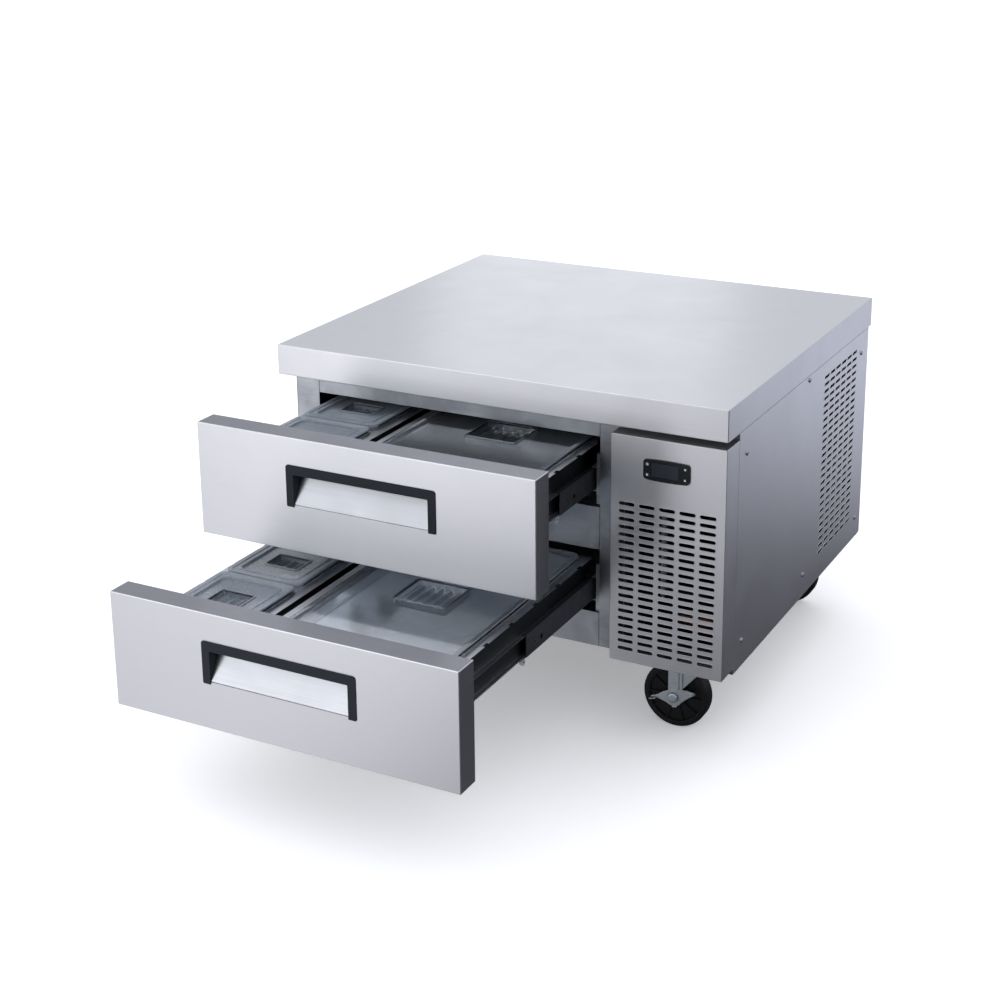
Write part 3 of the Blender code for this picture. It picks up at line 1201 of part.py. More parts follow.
def build_wheel(name, pivot, swivel_on):
    """Hard rubber wheel with a rim, a dished web and a hub that runs on the axle.

    The middles of its tread's facets lie on the wheel's radius, so it stands on the floor.
    """
    centre = axle_of(pivot)
    on = carrier(f"{name}_axis", centre, swivel_on)
    half = WHEEL_WIDTH / 2
    crown = WHEEL_RIM / 4
    tread = WHEEL_RADIUS / math.cos(math.pi / WHEEL_STEPS)
    rim = WHEEL_RADIUS - WHEEL_RIM
    dish = half - WHEEL_DISH
    profile = [
        (WHEEL_BORE, -half), (WHEEL_HUB_RADIUS, -half), (WHEEL_HUB_RADIUS, -dish), (rim, -dish),
        (rim, -half), (tread - crown, -half), (tread, crown - half), (tread, half - crown),
        (tread - crown, half), (rim, half), (rim, dish),
        (WHEEL_HUB_RADIUS, dish), (WHEEL_HUB_RADIUS, half), (WHEEL_BORE, half),
    ]
    wheel = turned(profile, (0, 0, 0), "Y", WHEEL_STEPS)
    bmesh.ops.rotate(wheel, verts=wheel.verts, cent=(0, 0, 0),
                     matrix=Matrix.Rotation(math.pi / 2 - math.pi / WHEEL_STEPS, 3, "Y"))
    bmesh.ops.translate(wheel, verts=wheel.verts, vec=centre)
    smooth(new_object(name, wheel, WHEEL_RUBBER, on))


def build_pedal(name, pivot, swivel_on):
    """Side brake: a winged lever on the axle, with a tread turned out at each tip."""
    centre = axle_of(pivot)
    on = carrier(f"{name}_axis", centre, swivel_on)
    near = pivot.y - FORK_OUTER - RUNNING_GAP
    far = near - PEDAL_SHEET
    outline = [(-PEDAL_REACH, PEDAL_WING / 2), (-PEDAL_REACH, PEDAL_WING / 2 - PEDAL_SHEET),
               (-PEDAL_NECK, -PEDAL_NECK / 2), (-PEDAL_NECK / 4, -PEDAL_BELOW),
               (PEDAL_NECK / 4, -PEDAL_BELOW),
               (PEDAL_NECK, -PEDAL_NECK / 2), (PEDAL_REACH, PEDAL_WING / 2 - PEDAL_SHEET),
               (PEDAL_REACH, PEDAL_WING / 2), (PEDAL_NECK, PEDAL_WING), (0, PEDAL_CREST),
               (-PEDAL_NECK, PEDAL_WING)]
    plate = prism(outline, "Y", far - centre.y, near - centre.y)
    tilt = Matrix.Rotation(-PEDAL_TILT, 4, "Y")
    bmesh.ops.transform(plate, matrix=Matrix.Translation(centre) @ tilt, verts=plate.verts)
    pedal = new_object(name, plate, ZINC, on)
    for side in (-1, 1):
        span = sorted((side * (PEDAL_REACH - PEDAL_TREAD), side * PEDAL_REACH))
        tread = joined_boxes([box(*span, far - centre.y - PEDAL_TREAD, (far + near) / 2 - centre.y,
                                  PEDAL_WING / 2 - PEDAL_SHEET, PEDAL_WING / 2)])
        bmesh.ops.transform(tread, matrix=Matrix.Translation(centre) @ tilt, verts=tread.verts)
        combine(pedal, tread, "UNION", on)
    bore = prism(circle((centre.x, centre.z), PEDAL_BORE, 12), "Y", far - OVERRUN, near + OVERRUN)
    combine(pedal, bore, "DIFFERENCE", on)


def build_casters():
    """Four swivel casters whose forks trail inward; the front two have side brakes."""
    reach_x = SIDE_X - CASTER_INSET_X
    rows = {"front": FRAME_Y + CASTER_INSET_Y, "rear": REAR_Y - CASTER_INSET_Y}
    for row, pivot_y in rows.items():
        for side, pivot_x in (("left", -reach_x), ("right", reach_x)):
            pivot = Vector((pivot_x, pivot_y, CROWN_TOP))
            place = f"{row}_{side}"
            on = carrier(f"{place}_caster", pivot)
            build_caster_plate(f"{place}_caster_plate", pivot)
            build_fork(f"{place}_caster_fork", pivot, on)
            build_wheel(f"{place}_caster_wheel", pivot, on)
            if row == "front":
                build_pedal(f"{place}_brake_pedal", pivot, on)


build_worktop()
build_side_panels()
build_back_panel()
build_base_pan()
build_front_frame()
build_insulated_body()
build_inner_liner()
build_front_cover()
build_controller()
build_drawers()
build_refrigeration()
build_gland()
build_casters()
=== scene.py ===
"""Dressed model of a refrigerated chef base: two pan drawers beside a machine compartment.

Metres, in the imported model's frame: +X is the machine side, -Y the front, the floor is z = 0.
"""

import logging
import math
from collections.abc import Callable, Sequence
from dataclasses import dataclass
from enum import Enum

import bmesh
import bpy
from mathutils import Matrix, Vector


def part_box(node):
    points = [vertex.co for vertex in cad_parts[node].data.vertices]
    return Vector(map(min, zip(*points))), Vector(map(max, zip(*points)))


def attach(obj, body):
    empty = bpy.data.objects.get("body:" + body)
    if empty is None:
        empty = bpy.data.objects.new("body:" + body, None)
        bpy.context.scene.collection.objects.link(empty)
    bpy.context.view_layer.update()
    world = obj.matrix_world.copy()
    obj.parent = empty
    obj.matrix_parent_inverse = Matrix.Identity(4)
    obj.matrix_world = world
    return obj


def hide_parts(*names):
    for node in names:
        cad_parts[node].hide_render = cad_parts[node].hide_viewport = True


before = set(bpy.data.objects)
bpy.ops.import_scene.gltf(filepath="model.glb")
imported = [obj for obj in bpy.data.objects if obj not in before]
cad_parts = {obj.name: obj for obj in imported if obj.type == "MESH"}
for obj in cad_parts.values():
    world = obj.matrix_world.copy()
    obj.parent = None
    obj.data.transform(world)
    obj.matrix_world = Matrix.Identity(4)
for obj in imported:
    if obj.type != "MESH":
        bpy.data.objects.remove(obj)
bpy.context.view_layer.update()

log = logging.getLogger("chef_base")

Place = tuple[float, float, float]
Wanted = Callable[[Vector, Vector], bool]
# How near two places have to be to count as the same
NEAR = 0.00002
# How far a cutting tool reaches past the sheet that it cuts
PAST = 0.01


class Pick(Enum):
    """What edit mode selects."""

    FACE = "FACE"
    EDGE = "EDGE"
    CORNER = "VERT"


class Axis(Enum):
    """Direction of a round piece's length, with the turn that lays a primitive along it."""

    X = (0, math.pi / 2, 0)
    Y = (-math.pi / 2, 0, 0)
    Z = (0, 0, 0)


# Modelling

class Shape:
    """One piece under way, shaped step by step with the modelling operators."""

    def __init__(self, piece: bpy.types.Object) -> None:
        """Take over an object that has just been added.

        Args:
            piece: The object.
        """
        self.piece = piece

    @staticmethod
    def start() -> None:
        """Leave edit mode and deselect everything."""
        if bpy.context.object and bpy.context.object.mode != "OBJECT":
            bpy.ops.object.mode_set(mode="OBJECT")
        bpy.ops.object.select_all(action="DESELECT")

    @classmethod
    def block(cls, name: str, low: Sequence[float], high: Sequence[float]) -> "Shape":
        """Add a box between two corners.

        Args:
            name: Name of the piece.
            low: Its lowest corner.
            high: Its highest corner.

        Returns:
            The new shape.
        """
        cls.start()
        low, high = Vector(low), Vector(high)
        bpy.ops.mesh.primitive_cube_add(size=1, location=(low + high) / 2, scale=high - low)
        return cls(bpy.context.object)._named(name)

    @classmethod
    def drum(cls, name: str, centre: Sequence[float], radius: float, length: float,
             axis: Axis = Axis.Z, sides: int = 32) -> "Shape":
        """Add a cylinder round a centre.

        Args:
            name: Name of the piece.
            centre: Its middle.
            radius: Its radius.
            length: Its length along its axis.
            axis: The direction of its length.
            sides: How many flat sides stand for the round one.

        Returns:
            The new shape.
        """
        cls.start()
        bpy.ops.mesh.primitive_cylinder_add(vertices=sides, radius=radius, depth=length,
                                            location=centre, rotation=axis.value)
        return cls(bpy.context.object)._named(name)

    @classmethod
    def node_copy(cls, name: str, node: str) -> "Shape":
        """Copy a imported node's mesh and merge its loose triangles.

        Args:
            name: Name of the new piece.
            node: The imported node.

        Returns:
            The new shape.
        """
        cls.start()
        piece = bpy.data.objects.new(name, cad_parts[node].data.copy())
        bpy.context.scene.collection.objects.link(piece)
        piece.data.materials.clear()
        shape = cls(piece)._named(name)
        shape.edit()
        bpy.ops.mesh.select_all(action="SELECT")
        bpy.ops.mesh.remove_doubles(threshold=NEAR / 2)
        bpy.ops.mesh.tris_convert_to_quads(face_threshold=0.02, shape_threshold=0.02)
        return shape.rest()

    def _named(self, name: str) -> "Shape":
        """Name the piece and put its origin at the world's origin."""
        self.piece.name = self.piece.data.name = name
        return self.apply_place()

    def hold(self) -> "Shape":
        """Select the piece alone and make it active."""
        self.start()
        self.piece.select_set(True)
        bpy.context.view_layer.objects.active = self.piece
        return self

    def apply_place(self) -> "Shape":
        """Move the object's place, turn and scale into its mesh."""
        self.hold()
        bpy.ops.object.transform_apply(location=True, rotation=True, scale=True)
        return self

    def edit(self) -> "Shape":
        """Enter edit mode on the piece."""
        if self.piece.mode != "EDIT":
            self.hold()
            bpy.ops.object.mode_set(mode="EDIT")
        return self

    def rest(self) -> "Shape":
        """Go back to object mode."""
        self.start()
        return self

    def pick(self, kind: Pick, wanted: Wanted) -> "Shape":
        """Select the faces, edges or corners that a test wants.

        Args:
            kind: What is selected.
            wanted: Is given a middle and a normal, or an edge's direction.

        Returns:
            The shape itself.
        """
        self.edit()
        bpy.ops.mesh.select_mode(type=kind.value)
        bpy.ops.mesh.select_all(action="DESELECT")
        mesh = bmesh.from_edit_mesh(self.piece.data)
        mesh.normal_update()
        if kind is Pick.FACE:
            chosen = [f for f in mesh.faces if wanted(f.calc_center_median(), f.normal)]
        elif kind is Pick.EDGE:
            ends = [(e, e.verts[0].co, e.verts[1].co) for e in mesh.edges]
            chosen = [e for e, a, b in ends if wanted((a + b) / 2, (b - a).normalized())]
        else:
            chosen = [v for v in mesh.verts if wanted(v.co, v.normal)]
        for item in chosen:
            item.select_set(True)
        mesh.select_flush_mode()
        bmesh.update_edit_mesh(self.piece.data)
        return self

    def face(self, *direction: float) -> "Shape":
        """Select the faces that look in one direction."""
        return self.pick(Pick.FACE, lambda middle, normal: normal.dot(Vector(direction)) > 0.99)

    def inset(self, thickness: float, depth: float = 0) -> "Shape":
        """Inset the selected faces, and sink them (negative) or raise them by a depth."""
        bpy.ops.mesh.inset(thickness=thickness, depth=depth, use_even_offset=True)
        return self

    def steps(self, *pairs: tuple[float, float]) -> "Shape":
        """Inset the selected faces again and again, each time by a thickness and a depth."""
        for thickness, depth in pairs:
            self.inset(thickness, depth)
        return self

    def extrude(self, x: float = 0, y: float = 0, z: float = 0) -> "Shape":
        """Extrude the selected faces along a vector."""
        bpy.ops.mesh.extrude_region_move(TRANSFORM_OT_translate={"value": (x, y, z)})
        return self

    def shift(self, x: float = 0, y: float = 0, z: float = 0) -> "Shape":
        """Move the selection."""
        bpy.ops.transform.translate(value=(x, y, z))
        return self

    def turn(self, angle: float, axis: str, centre: Sequence[float]) -> "Shape":
        """Turn the selection anticlockwise about an axis: the operator itself counts clockwise."""
        bpy.ops.transform.rotate(value=-angle, orient_axis=axis, center_override=centre)
        return self

    def scale(self, factors: Sequence[float], centre: Sequence[float]) -> "Shape":
        """Scale the selection about a centre."""
        bpy.ops.transform.resize(value=factors, center_override=centre)
        return self

    def bevel(self, width: float, segments: int = 3) -> "Shape":
        """Bevel the selected edges."""
        bpy.ops.mesh.bevel(offset=width, segments=segments, affect="EDGES", clamp_overlap=True)
        return self

    def slice(self, point: Sequence[float], normal: Sequence[float]) -> "Shape":
        """Score the whole mesh along a plane."""
        self.edit()
        bpy.ops.mesh.select_all(action="SELECT")
        bpy.ops.mesh.bisect(plane_co=point, plane_no=normal)
        return self

    def modifier(self, kind: str, **settings: object) -> "Shape":
        """Add a modifier with its settings, and apply it.

        Args:
            kind: The modifier's type.
            settings: Its settings by name.

        Returns:
            The shape itself.
        """
        self.hold()
        bpy.ops.object.modifier_add(type=kind)
        modifier = self.piece.modifiers[-1]
        for key, value in settings.items():
            setattr(modifier, key, value)
        bpy.ops.object.modifier_apply(modifier=modifier.name)
        return self

    def repeat(self, count: int, x: float = 0, y: float = 0, z: float = 0) -> "Shape":
        """Repeat the shape along a step."""
        return self.modifier("ARRAY", count=count, use_relative_offset=False,
                             use_constant_offset=True, constant_offset_displace=(x, y, z))

    def soften(self, width: float, segments: int = 2, angle: float = 30) -> "Shape":
        """Round every edge that is sharper than an angle in degrees."""
        return self.modifier("BEVEL", width=width, segments=segments, limit_method="ANGLE",
                             angle_limit=math.radians(angle), harden_normals=False)

    def discard(self) -> None:
        """Remove the shape, once it is used up."""
        bpy.data.objects.remove(self.piece, do_unlink=True)

    def cut(self, tool: "Shape") -> "Shape":
        """Cut another shape away, which is used up."""
        self.modifier("BOOLEAN", operation="DIFFERENCE", solver="EXACT", object=tool.piece)
        tool.discard()
        return self

    def copy(self, name: str, x: float = 0, y: float = 0, z: float = 0) -> "Shape":
        """Copy the shape with a mesh of its own.

        Args:
            name: Name of the copy.
            x: How far it is moved along X.
            y: How far it is moved along Y.
            z: How far it is moved along Z.

        Returns:
            The copy.
        """
        self.hold()
        bpy.ops.object.duplicate(linked=False)
        made = Shape(bpy.context.object)
        made.piece.location = (x, y, z)
        return made._named(name)

    def place(self, matrix: Matrix) -> "Shape":
        """Turn and move the whole shape by a matrix."""
        self.piece.matrix_world = matrix
        return self.apply_place()

    def join(self, *others: "Shape") -> "Shape":
        """Make other shapes part of this piece."""
        self.hold()
        for other in others:
            other.piece.select_set(True)
        bpy.ops.object.join()
        return self

    def outward(self) -> "Shape":
        """Merge doubles and make all faces look outward."""
        self.edit()
        bpy.ops.mesh.select_all(action="SELECT")
        bpy.ops.mesh.remove_doubles(threshold=NEAR / 2)
        bpy.ops.mesh.normals_make_consistent(inside=False)
        return self.rest()

    def round_shade(self, angle: float = 30) -> "Shape":
        """Shade smooth across edges that are flatter than an angle in degrees."""
        self.hold()
        bpy.ops.object.shade_smooth_by_angle(angle=math.radians(angle))
        return self.modifier("WEIGHTED_NORMAL", keep_sharp=True)

    def paint(self, finish: "Finish", wanted: Wanted) -> "Shape":
        """Give some faces of a finished piece another finish.

        Args:
            finish: Their finish.
            wanted: Is given a face's middle and its normal.

        Returns:
            The shape itself.
        """
        self.piece.data.materials.append(finish.material())
        self.pick(Pick.FACE, wanted)
        self.piece.active_material_index = len(self.piece.data.materials) - 1
        bpy.ops.object.material_slot_assign()
        return self.rest()

    def finish(self, finish: "Finish", body: str, slot: str, *nodes: str) -> bpy.types.Object:
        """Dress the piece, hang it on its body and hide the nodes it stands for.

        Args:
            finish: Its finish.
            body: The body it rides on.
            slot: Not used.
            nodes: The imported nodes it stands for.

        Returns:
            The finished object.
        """
        self.round_shade()
        self.start()
        self.piece.data.materials.clear()
        self.piece.data.materials.append(finish.material())
        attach(self.piece, body)
        if nodes:
            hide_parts(*nodes)
        log.info("%s: %d faces on %s", self.piece.name, len(self.piece.data.polygons), body)
        return self.piece


# Finishes

def linear(code: str) -> tuple[float, float, float, float]:
    """Turn an sRGB hex colour into linear light.

    Args:
        code: Six hex digits.

    Returns:
        Red, green, blue and alpha.
    """
    parts = [int(code[i:i + 2], 16) / 255 for i in (0, 2, 4)]
    return tuple(p / 12.92 if p <= 0.04045 else ((p + 0.055) / 1.055) ** 2.4 for p in parts) + (1.0,)


def add_node(tree: bpy.types.NodeTree, kind: str, inputs: dict | None = None,
             **settings: object) -> bpy.types.Node:
    """Add one node with its settings, its values and its links.

    Args:
        tree: The node tree.
        kind: The node's type.
        inputs: For each input by name or number, a value or the socket linked to it.
        settings: The node's own settings by name.

    Returns:
        The node.
    """
    node = tree.nodes.new(kind)
    for key, value in settings.items():
        setattr(node, key, value)
    for key, value in (inputs or {}).items():
        if isinstance(value, bpy.types.NodeSocket):
            tree.links.new(value, node.inputs[key])
        else:
            node.inputs[key].default_value = value
    return node


@dataclass(frozen=True)
class Finish:
    """What all finishes have: two tones, a roughness range, and a pattern with its relief."""

    name: str
    tone: str
    shade: str
    metallic: float = 0.0
    smoothest: float = 0.3
    roughest: float = 0.5
    grain: float = 0.002
    relief: float = 0.00002
    # What else sets the shader apart from its defaults: each input by name, with its value
    others: tuple = ()

    def pattern(self, tree: bpy.types.NodeTree) -> bpy.types.NodeSocket:
        """Draw the surface's pattern: a fine even noise.

        Args:
            tree: The material's node tree.

        Returns:
            A socket from 0 to 1.
        """
        place = add_node(tree, "ShaderNodeTexCoord").outputs["Object"]
        return add_node(tree, "ShaderNodeTexNoise", {"Vector": place, "Scale": 1 / self.grain, "Detail": 3.0,
                                                     "Roughness": 0.6}).outputs[0]

    def settle(self, tree: bpy.types.NodeTree, shader: bpy.types.Node) -> None:
        """Set what is the same all over the surface.

        Args:
            tree: The material's node tree.
            shader: Its Principled shader.
        """
        for name, value in (("Metallic", self.metallic), *self.others):
            shader.inputs[name].default_value = value

    def material(self) -> bpy.types.Material:
        """Build the finish's material, or find it if it is there.

        Returns:
            The material.
        """
        found = bpy.data.materials.get(self.name)
        if found:
            return found
        made = bpy.data.materials.new(self.name)
        made.use_nodes = True
        tree = made.node_tree
        shader = tree.nodes["Principled BSDF"]
        pattern = self.pattern(tree)
        ramp = add_node(tree, "ShaderNodeValToRGB", {0: pattern})
        ramp.color_ramp.elements[0].position = 0.25
        ramp.color_ramp.elements[0].color = linear(self.shade)
        ramp.color_ramp.elements[1].position = 0.75
        ramp.color_ramp.elements[1].color = linear(self.tone)
        rough = add_node(tree, "ShaderNodeMapRange", {"Value": pattern, "From Min": 0.25, "From Max": 0.75,
                                                      "To Min": self.roughest, "To Max": self.smoothest})
        bump = add_node(tree, "ShaderNodeBump", {"Strength": 1.0, "Distance": self.relief, "Height": pattern})
        tree.links.new(ramp.outputs["Color"], shader.inputs["Base Color"])
        tree.links.new(rough.outputs["Result"], shader.inputs["Roughness"])
        tree.links.new(bump.outputs["Normal"], shader.inputs["Normal"])
        self.settle(tree, shader)
        return made


@dataclass(frozen=True)
class BrushedSheet(Finish):
    """Brushed 304 stainless sheet: a level hairline grain over soft smears from wiping.

    Real hairlines are about 0.1 mm apart. They are drawn some ten times coarser, so that they show.
    """

    hairline: float = 0.0012
    stroke: float = 0.16
    smear: float = 0.11
    smear_share: float = 0.45
    pull: float = 0.75

    def lay(self, tree: bpy.types.NodeTree) -> tuple[bpy.types.NodeSocket, bpy.types.NodeSocket]:
        """Find each face's level direction, and the one across it.

        Args:
            tree: The material's node tree.

        Returns:
            The sockets of both directions.
        """
        normal = add_node(tree, "ShaderNodeNewGeometry").outputs["True Normal"]
        level = add_node(tree, "ShaderNodeVectorMath", {0: normal, 1: (0, 0, 1)}, operation="CROSS_PRODUCT")
        rise = add_node(tree, "ShaderNodeVectorMath", {0: normal, 1: (0, 0, 1)}, operation="DOT_PRODUCT")
        flat = add_node(tree, "ShaderNodeVectorMath", {0: (1, 0, 0), "Scale": rise.outputs["Value"]},
                        operation="SCALE")
        along = add_node(tree, "ShaderNodeVectorMath", {0: level.outputs[0], 1: flat.outputs[0]},
                         operation="ADD")
        across = add_node(tree, "ShaderNodeVectorMath", {0: normal, 1: along.outputs[0]},
                          operation="CROSS_PRODUCT")
        return along.outputs[0], across.outputs[0]

    def settle(self, tree: bpy.types.NodeTree, shader: bpy.types.Node) -> None:
        """Stretch the reflections across the strokes.

        Args:
            tree: The material's node tree.
            shader: Its Principled shader.
        """
        super().settle(tree, shader)
        shader.inputs["Anisotropic"].default_value = self.pull
        tree.links.new(self.lay(tree)[1], shader.inputs["Tangent"])

    def pattern(self, tree: bpy.types.NodeTree) -> bpy.types.NodeSocket:
        """Draw long strokes along each face's level direction, mixed with broad smears.

        Args:
            tree: The material's node tree.

        Returns:
            A socket from 0 to 1.
        """
        place = add_node(tree, "ShaderNodeTexCoord").outputs["Object"]
        along, across = self.lay(tree)
        ends = []
        for direction, size in ((along, self.stroke), (across, self.hairline)):
            reach = add_node(tree, "ShaderNodeVectorMath", {0: place, 1: direction}, operation="DOT_PRODUCT")
            ends.append(add_node(tree, "ShaderNodeMath", {0: reach.outputs["Value"], 1: size},
                                 operation="DIVIDE").outputs[0])
        lay = add_node(tree, "ShaderNodeCombineXYZ", {"X": ends[0], "Y": ends[1]})
        strokes = add_node(tree, "ShaderNodeTexNoise", {"Vector": lay.outputs[0], "Scale": 1.0, "Detail": 2.0,
                                                        "Roughness": 0.7})
        smears = add_node(tree, "ShaderNodeTexNoise", {"Vector": place, "Scale": 1 / self.smear,
                                                       "Detail": 2.0, "Roughness": 0.5, "Distortion": 0.6})
        mixed = add_node(tree, "ShaderNodeMath", {0: smears.outputs[0], 1: self.smear_share},
                         operation="MULTIPLY")
        return add_node(tree, "ShaderNodeMath", {0: strokes.outputs[0], 1: 1 - self.smear_share,
                                                 2: mixed.outputs[0]}, operation="MULTIPLY_ADD").outputs[0]


@dataclass(frozen=True)
class TopLitSheet(BrushedSheet):
    """Folded runner sheet whose level faces are painted lighter than its walls: painted light from above,
    painted shade on the walls.
    """

    # Share of painted light that the level faces get
    top_light: float = 0.55

    def pattern(self, tree: bpy.types.NodeTree) -> bpy.types.NodeSocket:
        """Add painted light on level faces to the brushed strokes.

        Args:
            tree: The material's node tree.

        Returns:
            A socket from 0 to 1.
        """
        normal = add_node(tree, "ShaderNodeNewGeometry").outputs["True Normal"]
        rise = add_node(tree, "ShaderNodeVectorMath", {0: normal, 1: (0, 0, self.top_light)},
                        operation="DOT_PRODUCT")
        level = add_node(tree, "ShaderNodeMath", {0: rise.outputs["Value"], 1: 0.0}, operation="MAXIMUM")
        return add_node(tree, "ShaderNodeMath", {0: super().pattern(tree), 1: 1 - self.top_light,
                                                 2: level.outputs[0]}, operation="MULTIPLY_ADD").outputs[0]


@dataclass(frozen=True)
class SpangledSheet(Finish):
    """Hot-dip galvanised sheet: grey crystals of zinc some 10 mm wide."""

    def pattern(self, tree: bpy.types.NodeTree) -> bpy.types.NodeSocket:
        """Draw crystals as cells, each of its own grey.

        Args:
            tree: The material's node tree.

        Returns:
            A socket from 0 to 1.
        """
        place = add_node(tree, "ShaderNodeTexCoord").outputs["Object"]
        cells = add_node(tree, "ShaderNodeTexVoronoi", {"Vector": place, "Scale": 1 / self.grain,
                                                        "Randomness": 1.0})
        return add_node(tree, "ShaderNodeSeparateColor", {0: cells.outputs["Color"]}).outputs[0]


@dataclass(frozen=True)
class Mottled(Finish):
    """Plated, painted or rubbed surfaces: cloudy patches under a fine grain."""

    cloud: float = 0.02

    def pattern(self, tree: bpy.types.NodeTree) -> bpy.types.NodeSocket:
        """Draw patches and a fine grain over them.

        Args:
            tree: The material's node tree.

        Returns:
            A socket from 0 to 1.
        """
        place = add_node(tree, "ShaderNodeTexCoord").outputs["Object"]
        patches = add_node(tree, "ShaderNodeTexNoise", {"Vector": place, "Scale": 1 / self.cloud,
                                                        "Detail": 4.0, "Roughness": 0.6, "Distortion": 0.4})
        fine = add_node(tree, "ShaderNodeTexNoise", {"Vector": place, "Scale": 1 / self.grain, "Detail": 1.0})
        half = add_node(tree, "ShaderNodeMath", {0: patches.outputs[0], 1: 0.5}, operation="MULTIPLY")
        return add_node(tree, "ShaderNodeMath", {0: fine.outputs[0], 1: 0.5, 2: half.outputs[0]},
                        operation="MULTIPLY_ADD").outputs[0]


# Polished grey with long level strokes: broad soft reflections that fade down each face
STAINLESS = BrushedSheet("brushed_304_stainless", "CDCDD1", "C3C4C9", metallic=1.0, smoothest=0.32,
                         roughest=0.40, relief=0.000003)
# Folded returns of the drawer fronts: the same sheet coloured darker as painted shade, and a little duller
SHADED_RETURN_STAINLESS = BrushedSheet("painted_shade_return_stainless", "8F9096", "808188", metallic=1.0, smoothest=0.36,
                                roughest=0.44, relief=0.000003)
# Lips of punched slots, coloured far brighter than the sheet as a painted highlight; rough, so that they
# catch light from all round
HIGHLIGHT_LIP = Finish("lip_painted_highlight_stainless", "F1F1F4", "E4E5E9", metallic=1.0, smoothest=0.5, roughest=0.6,
                     relief=0.000002)
# The same sheet with less finishing, as on frames and runners: darker, and with stronger strokes
MILL_STAINLESS = BrushedSheet("mill_finish_stainless", "B0B3B9", "84878E", metallic=1.0, smoothest=0.30,
                              roughest=0.44, relief=0.000008, smear=0.05, smear_share=0.6)
# Drawer runners and flanges: level faces painted bright as painted light, walls painted dark as painted shade
TOP_LIT_STAINLESS = TopLitSheet("drawer_frame_stainless_painted_top_light", "C6C8CD", "3E4045", metallic=1.0, smoothest=0.34,
                                 roughest=0.46, relief=0.000006)
# Buffed plate of the scoops: brighter and smoother than the fronts round it
BRIGHT_STAINLESS = BrushedSheet("buffed_stainless", "ADAFB4", "A2A4A9", metallic=1.0, smoothest=0.36,
                                roughest=0.44, relief=0.000003)
# Zinc crystals on panels that don't face the user
GALVANISED = SpangledSheet("hot_dip_galvanised", "A4A8AB", "92969A", metallic=0.9, smoothest=0.40,
                           roughest=0.50, grain=0.009, relief=0.0)
# Satin moulded plastic, nearly black with a blue cast
ABS = Finish("moulded_abs", "1A2028", "13181E", smoothest=0.38, roughest=0.48, grain=0.0008,
             relief=0.00003, others=(("Specular IOR Level", 0.2),))
# Glossy moulded plastic of the controller
GLOSS_ABS = Finish("gloss_abs", "0F1114", "0A0B0E", smoothest=0.18, roughest=0.26, grain=0.004,
                   relief=0.000004)
# Soft-touch keys
KEY_SILICONE = Finish("key_silicone", "1B1E23", "14161A", smoothest=0.45, roughest=0.55, grain=0.0006,
                      relief=0.00001)
# Smoked window of the display
SMOKED_ACRYLIC = Finish("smoked_acrylic", "1C222A", "161B22", roughest=0.36, grain=0.01, relief=0.0)
# Pad-printed key symbols
SYMBOL_INK = Finish("symbol_ink", "D3E6EE", "BDD6E2", smoothest=0.4, grain=0.001, relief=0.0)
# Clear grey plastic of pans and lids, with faint wear in its gloss: most light passes through
POLYCARBONATE = Finish("clear_polycarbonate_moulding", "DFE5EB", "D0D8E0", smoothest=0.05, roughest=0.12,
                       grain=0.01, relief=0.000006, others=(("IOR", 1.58), ("Transmission Weight", 0.92)))
# The same plastic where dish washing has frosted it, as on the small lids: milky grey-blue
FROSTED_PLASTIC = Finish("frosted_polycarbonate_moulding", "C3CCD6", "AEB8C3", smoothest=0.16,
                         roughest=0.28, grain=0.01, relief=0.00001,
                         others=(("IOR", 1.58), ("Transmission Weight", 0.62)))
# Dark passivated slide steel with an oily sheen
SLIDE_STEEL = Mottled("passivated_slide_steel", "6A6D73", "4B4E54", metallic=0.9, roughest=0.45,
                      grain=0.001, relief=0.00001)
# Bright blue-white plating on pressed caster parts
ZINC_PLATE = Mottled("bright_zinc_plate", "E2E8EC", "B9C2C9", metallic=1.0, smoothest=0.42, roughest=0.56,
                     grain=0.0012, relief=0.00001, cloud=0.012)
# Moulded hard rubber, dull black with scuffs
HARD_RUBBER = Mottled("hard_rubber_tread", "141517", "0A0B0C", smoothest=0.42, roughest=0.62, grain=0.001,
                      relief=0.00004, cloud=0.03, others=(("Specular IOR Level", 0.25),))
# Vinyl seal, pale grey and dull
GASKET_VINYL = Mottled("gasket_vinyl", "B7B9BA", "A5A7A9", smoothest=0.5, roughest=0.6, grain=0.001,
                       relief=0.00001)
# Stove enamel with a slight orange peel
STOVE_ENAMEL = Mottled("stove_enamel", "1A1B1C", "121314", smoothest=0.25, roughest=0.35, grain=0.0015,
                       relief=0.00003, others=(("Coat Weight", 0.3),))
# Drawn copper tube, dulled in patches
COPPER = Mottled("drawn_copper", "C98B6B", "8F5940", metallic=1.0, smoothest=0.28, roughest=0.45,
                 grain=0.001, relief=0.00001)
# Rolled aluminium of fins
FIN_ALUMINIUM = Mottled("rolled_aluminium", "B4B7BA", "96999C", metallic=1.0, smoothest=0.35,
                        grain=0.001, relief=0.00001)
# Bare aluminium can of the liquid receiver: the bright glint behind the slots
RECEIVER_ALUMINIUM = Mottled("spun_aluminium", "D5D8DB", "B9BDC1", metallic=1.0, smoothest=0.2,
                             roughest=0.34, grain=0.001, relief=0.000005)
# Rigid foam, dry and pitted, coloured near black as painted shade where it shows under the worktop and
# through the slots
FOAM_IN_PAINTED_SHADE = Mottled("foam_painted_shade_black", "2A2A2C", "1E1E20", smoothest=0.85, roughest=0.95, grain=0.0018,
               relief=0.0002, cloud=0.05)
# Moulded inner panel: light grey plastic with a fine texture
PANEL_PLASTIC = Finish("textured_inner_panel", "C9CBCD", "BCBFC2", smoothest=0.42, roughest=0.55,
                       grain=0.0012, relief=0.00004)
# Nylon of the slide rollers
NYLON = Finish("natural_nylon", "8D9299", "7C8187", smoothest=0.35, roughest=0.45, relief=0.00001)
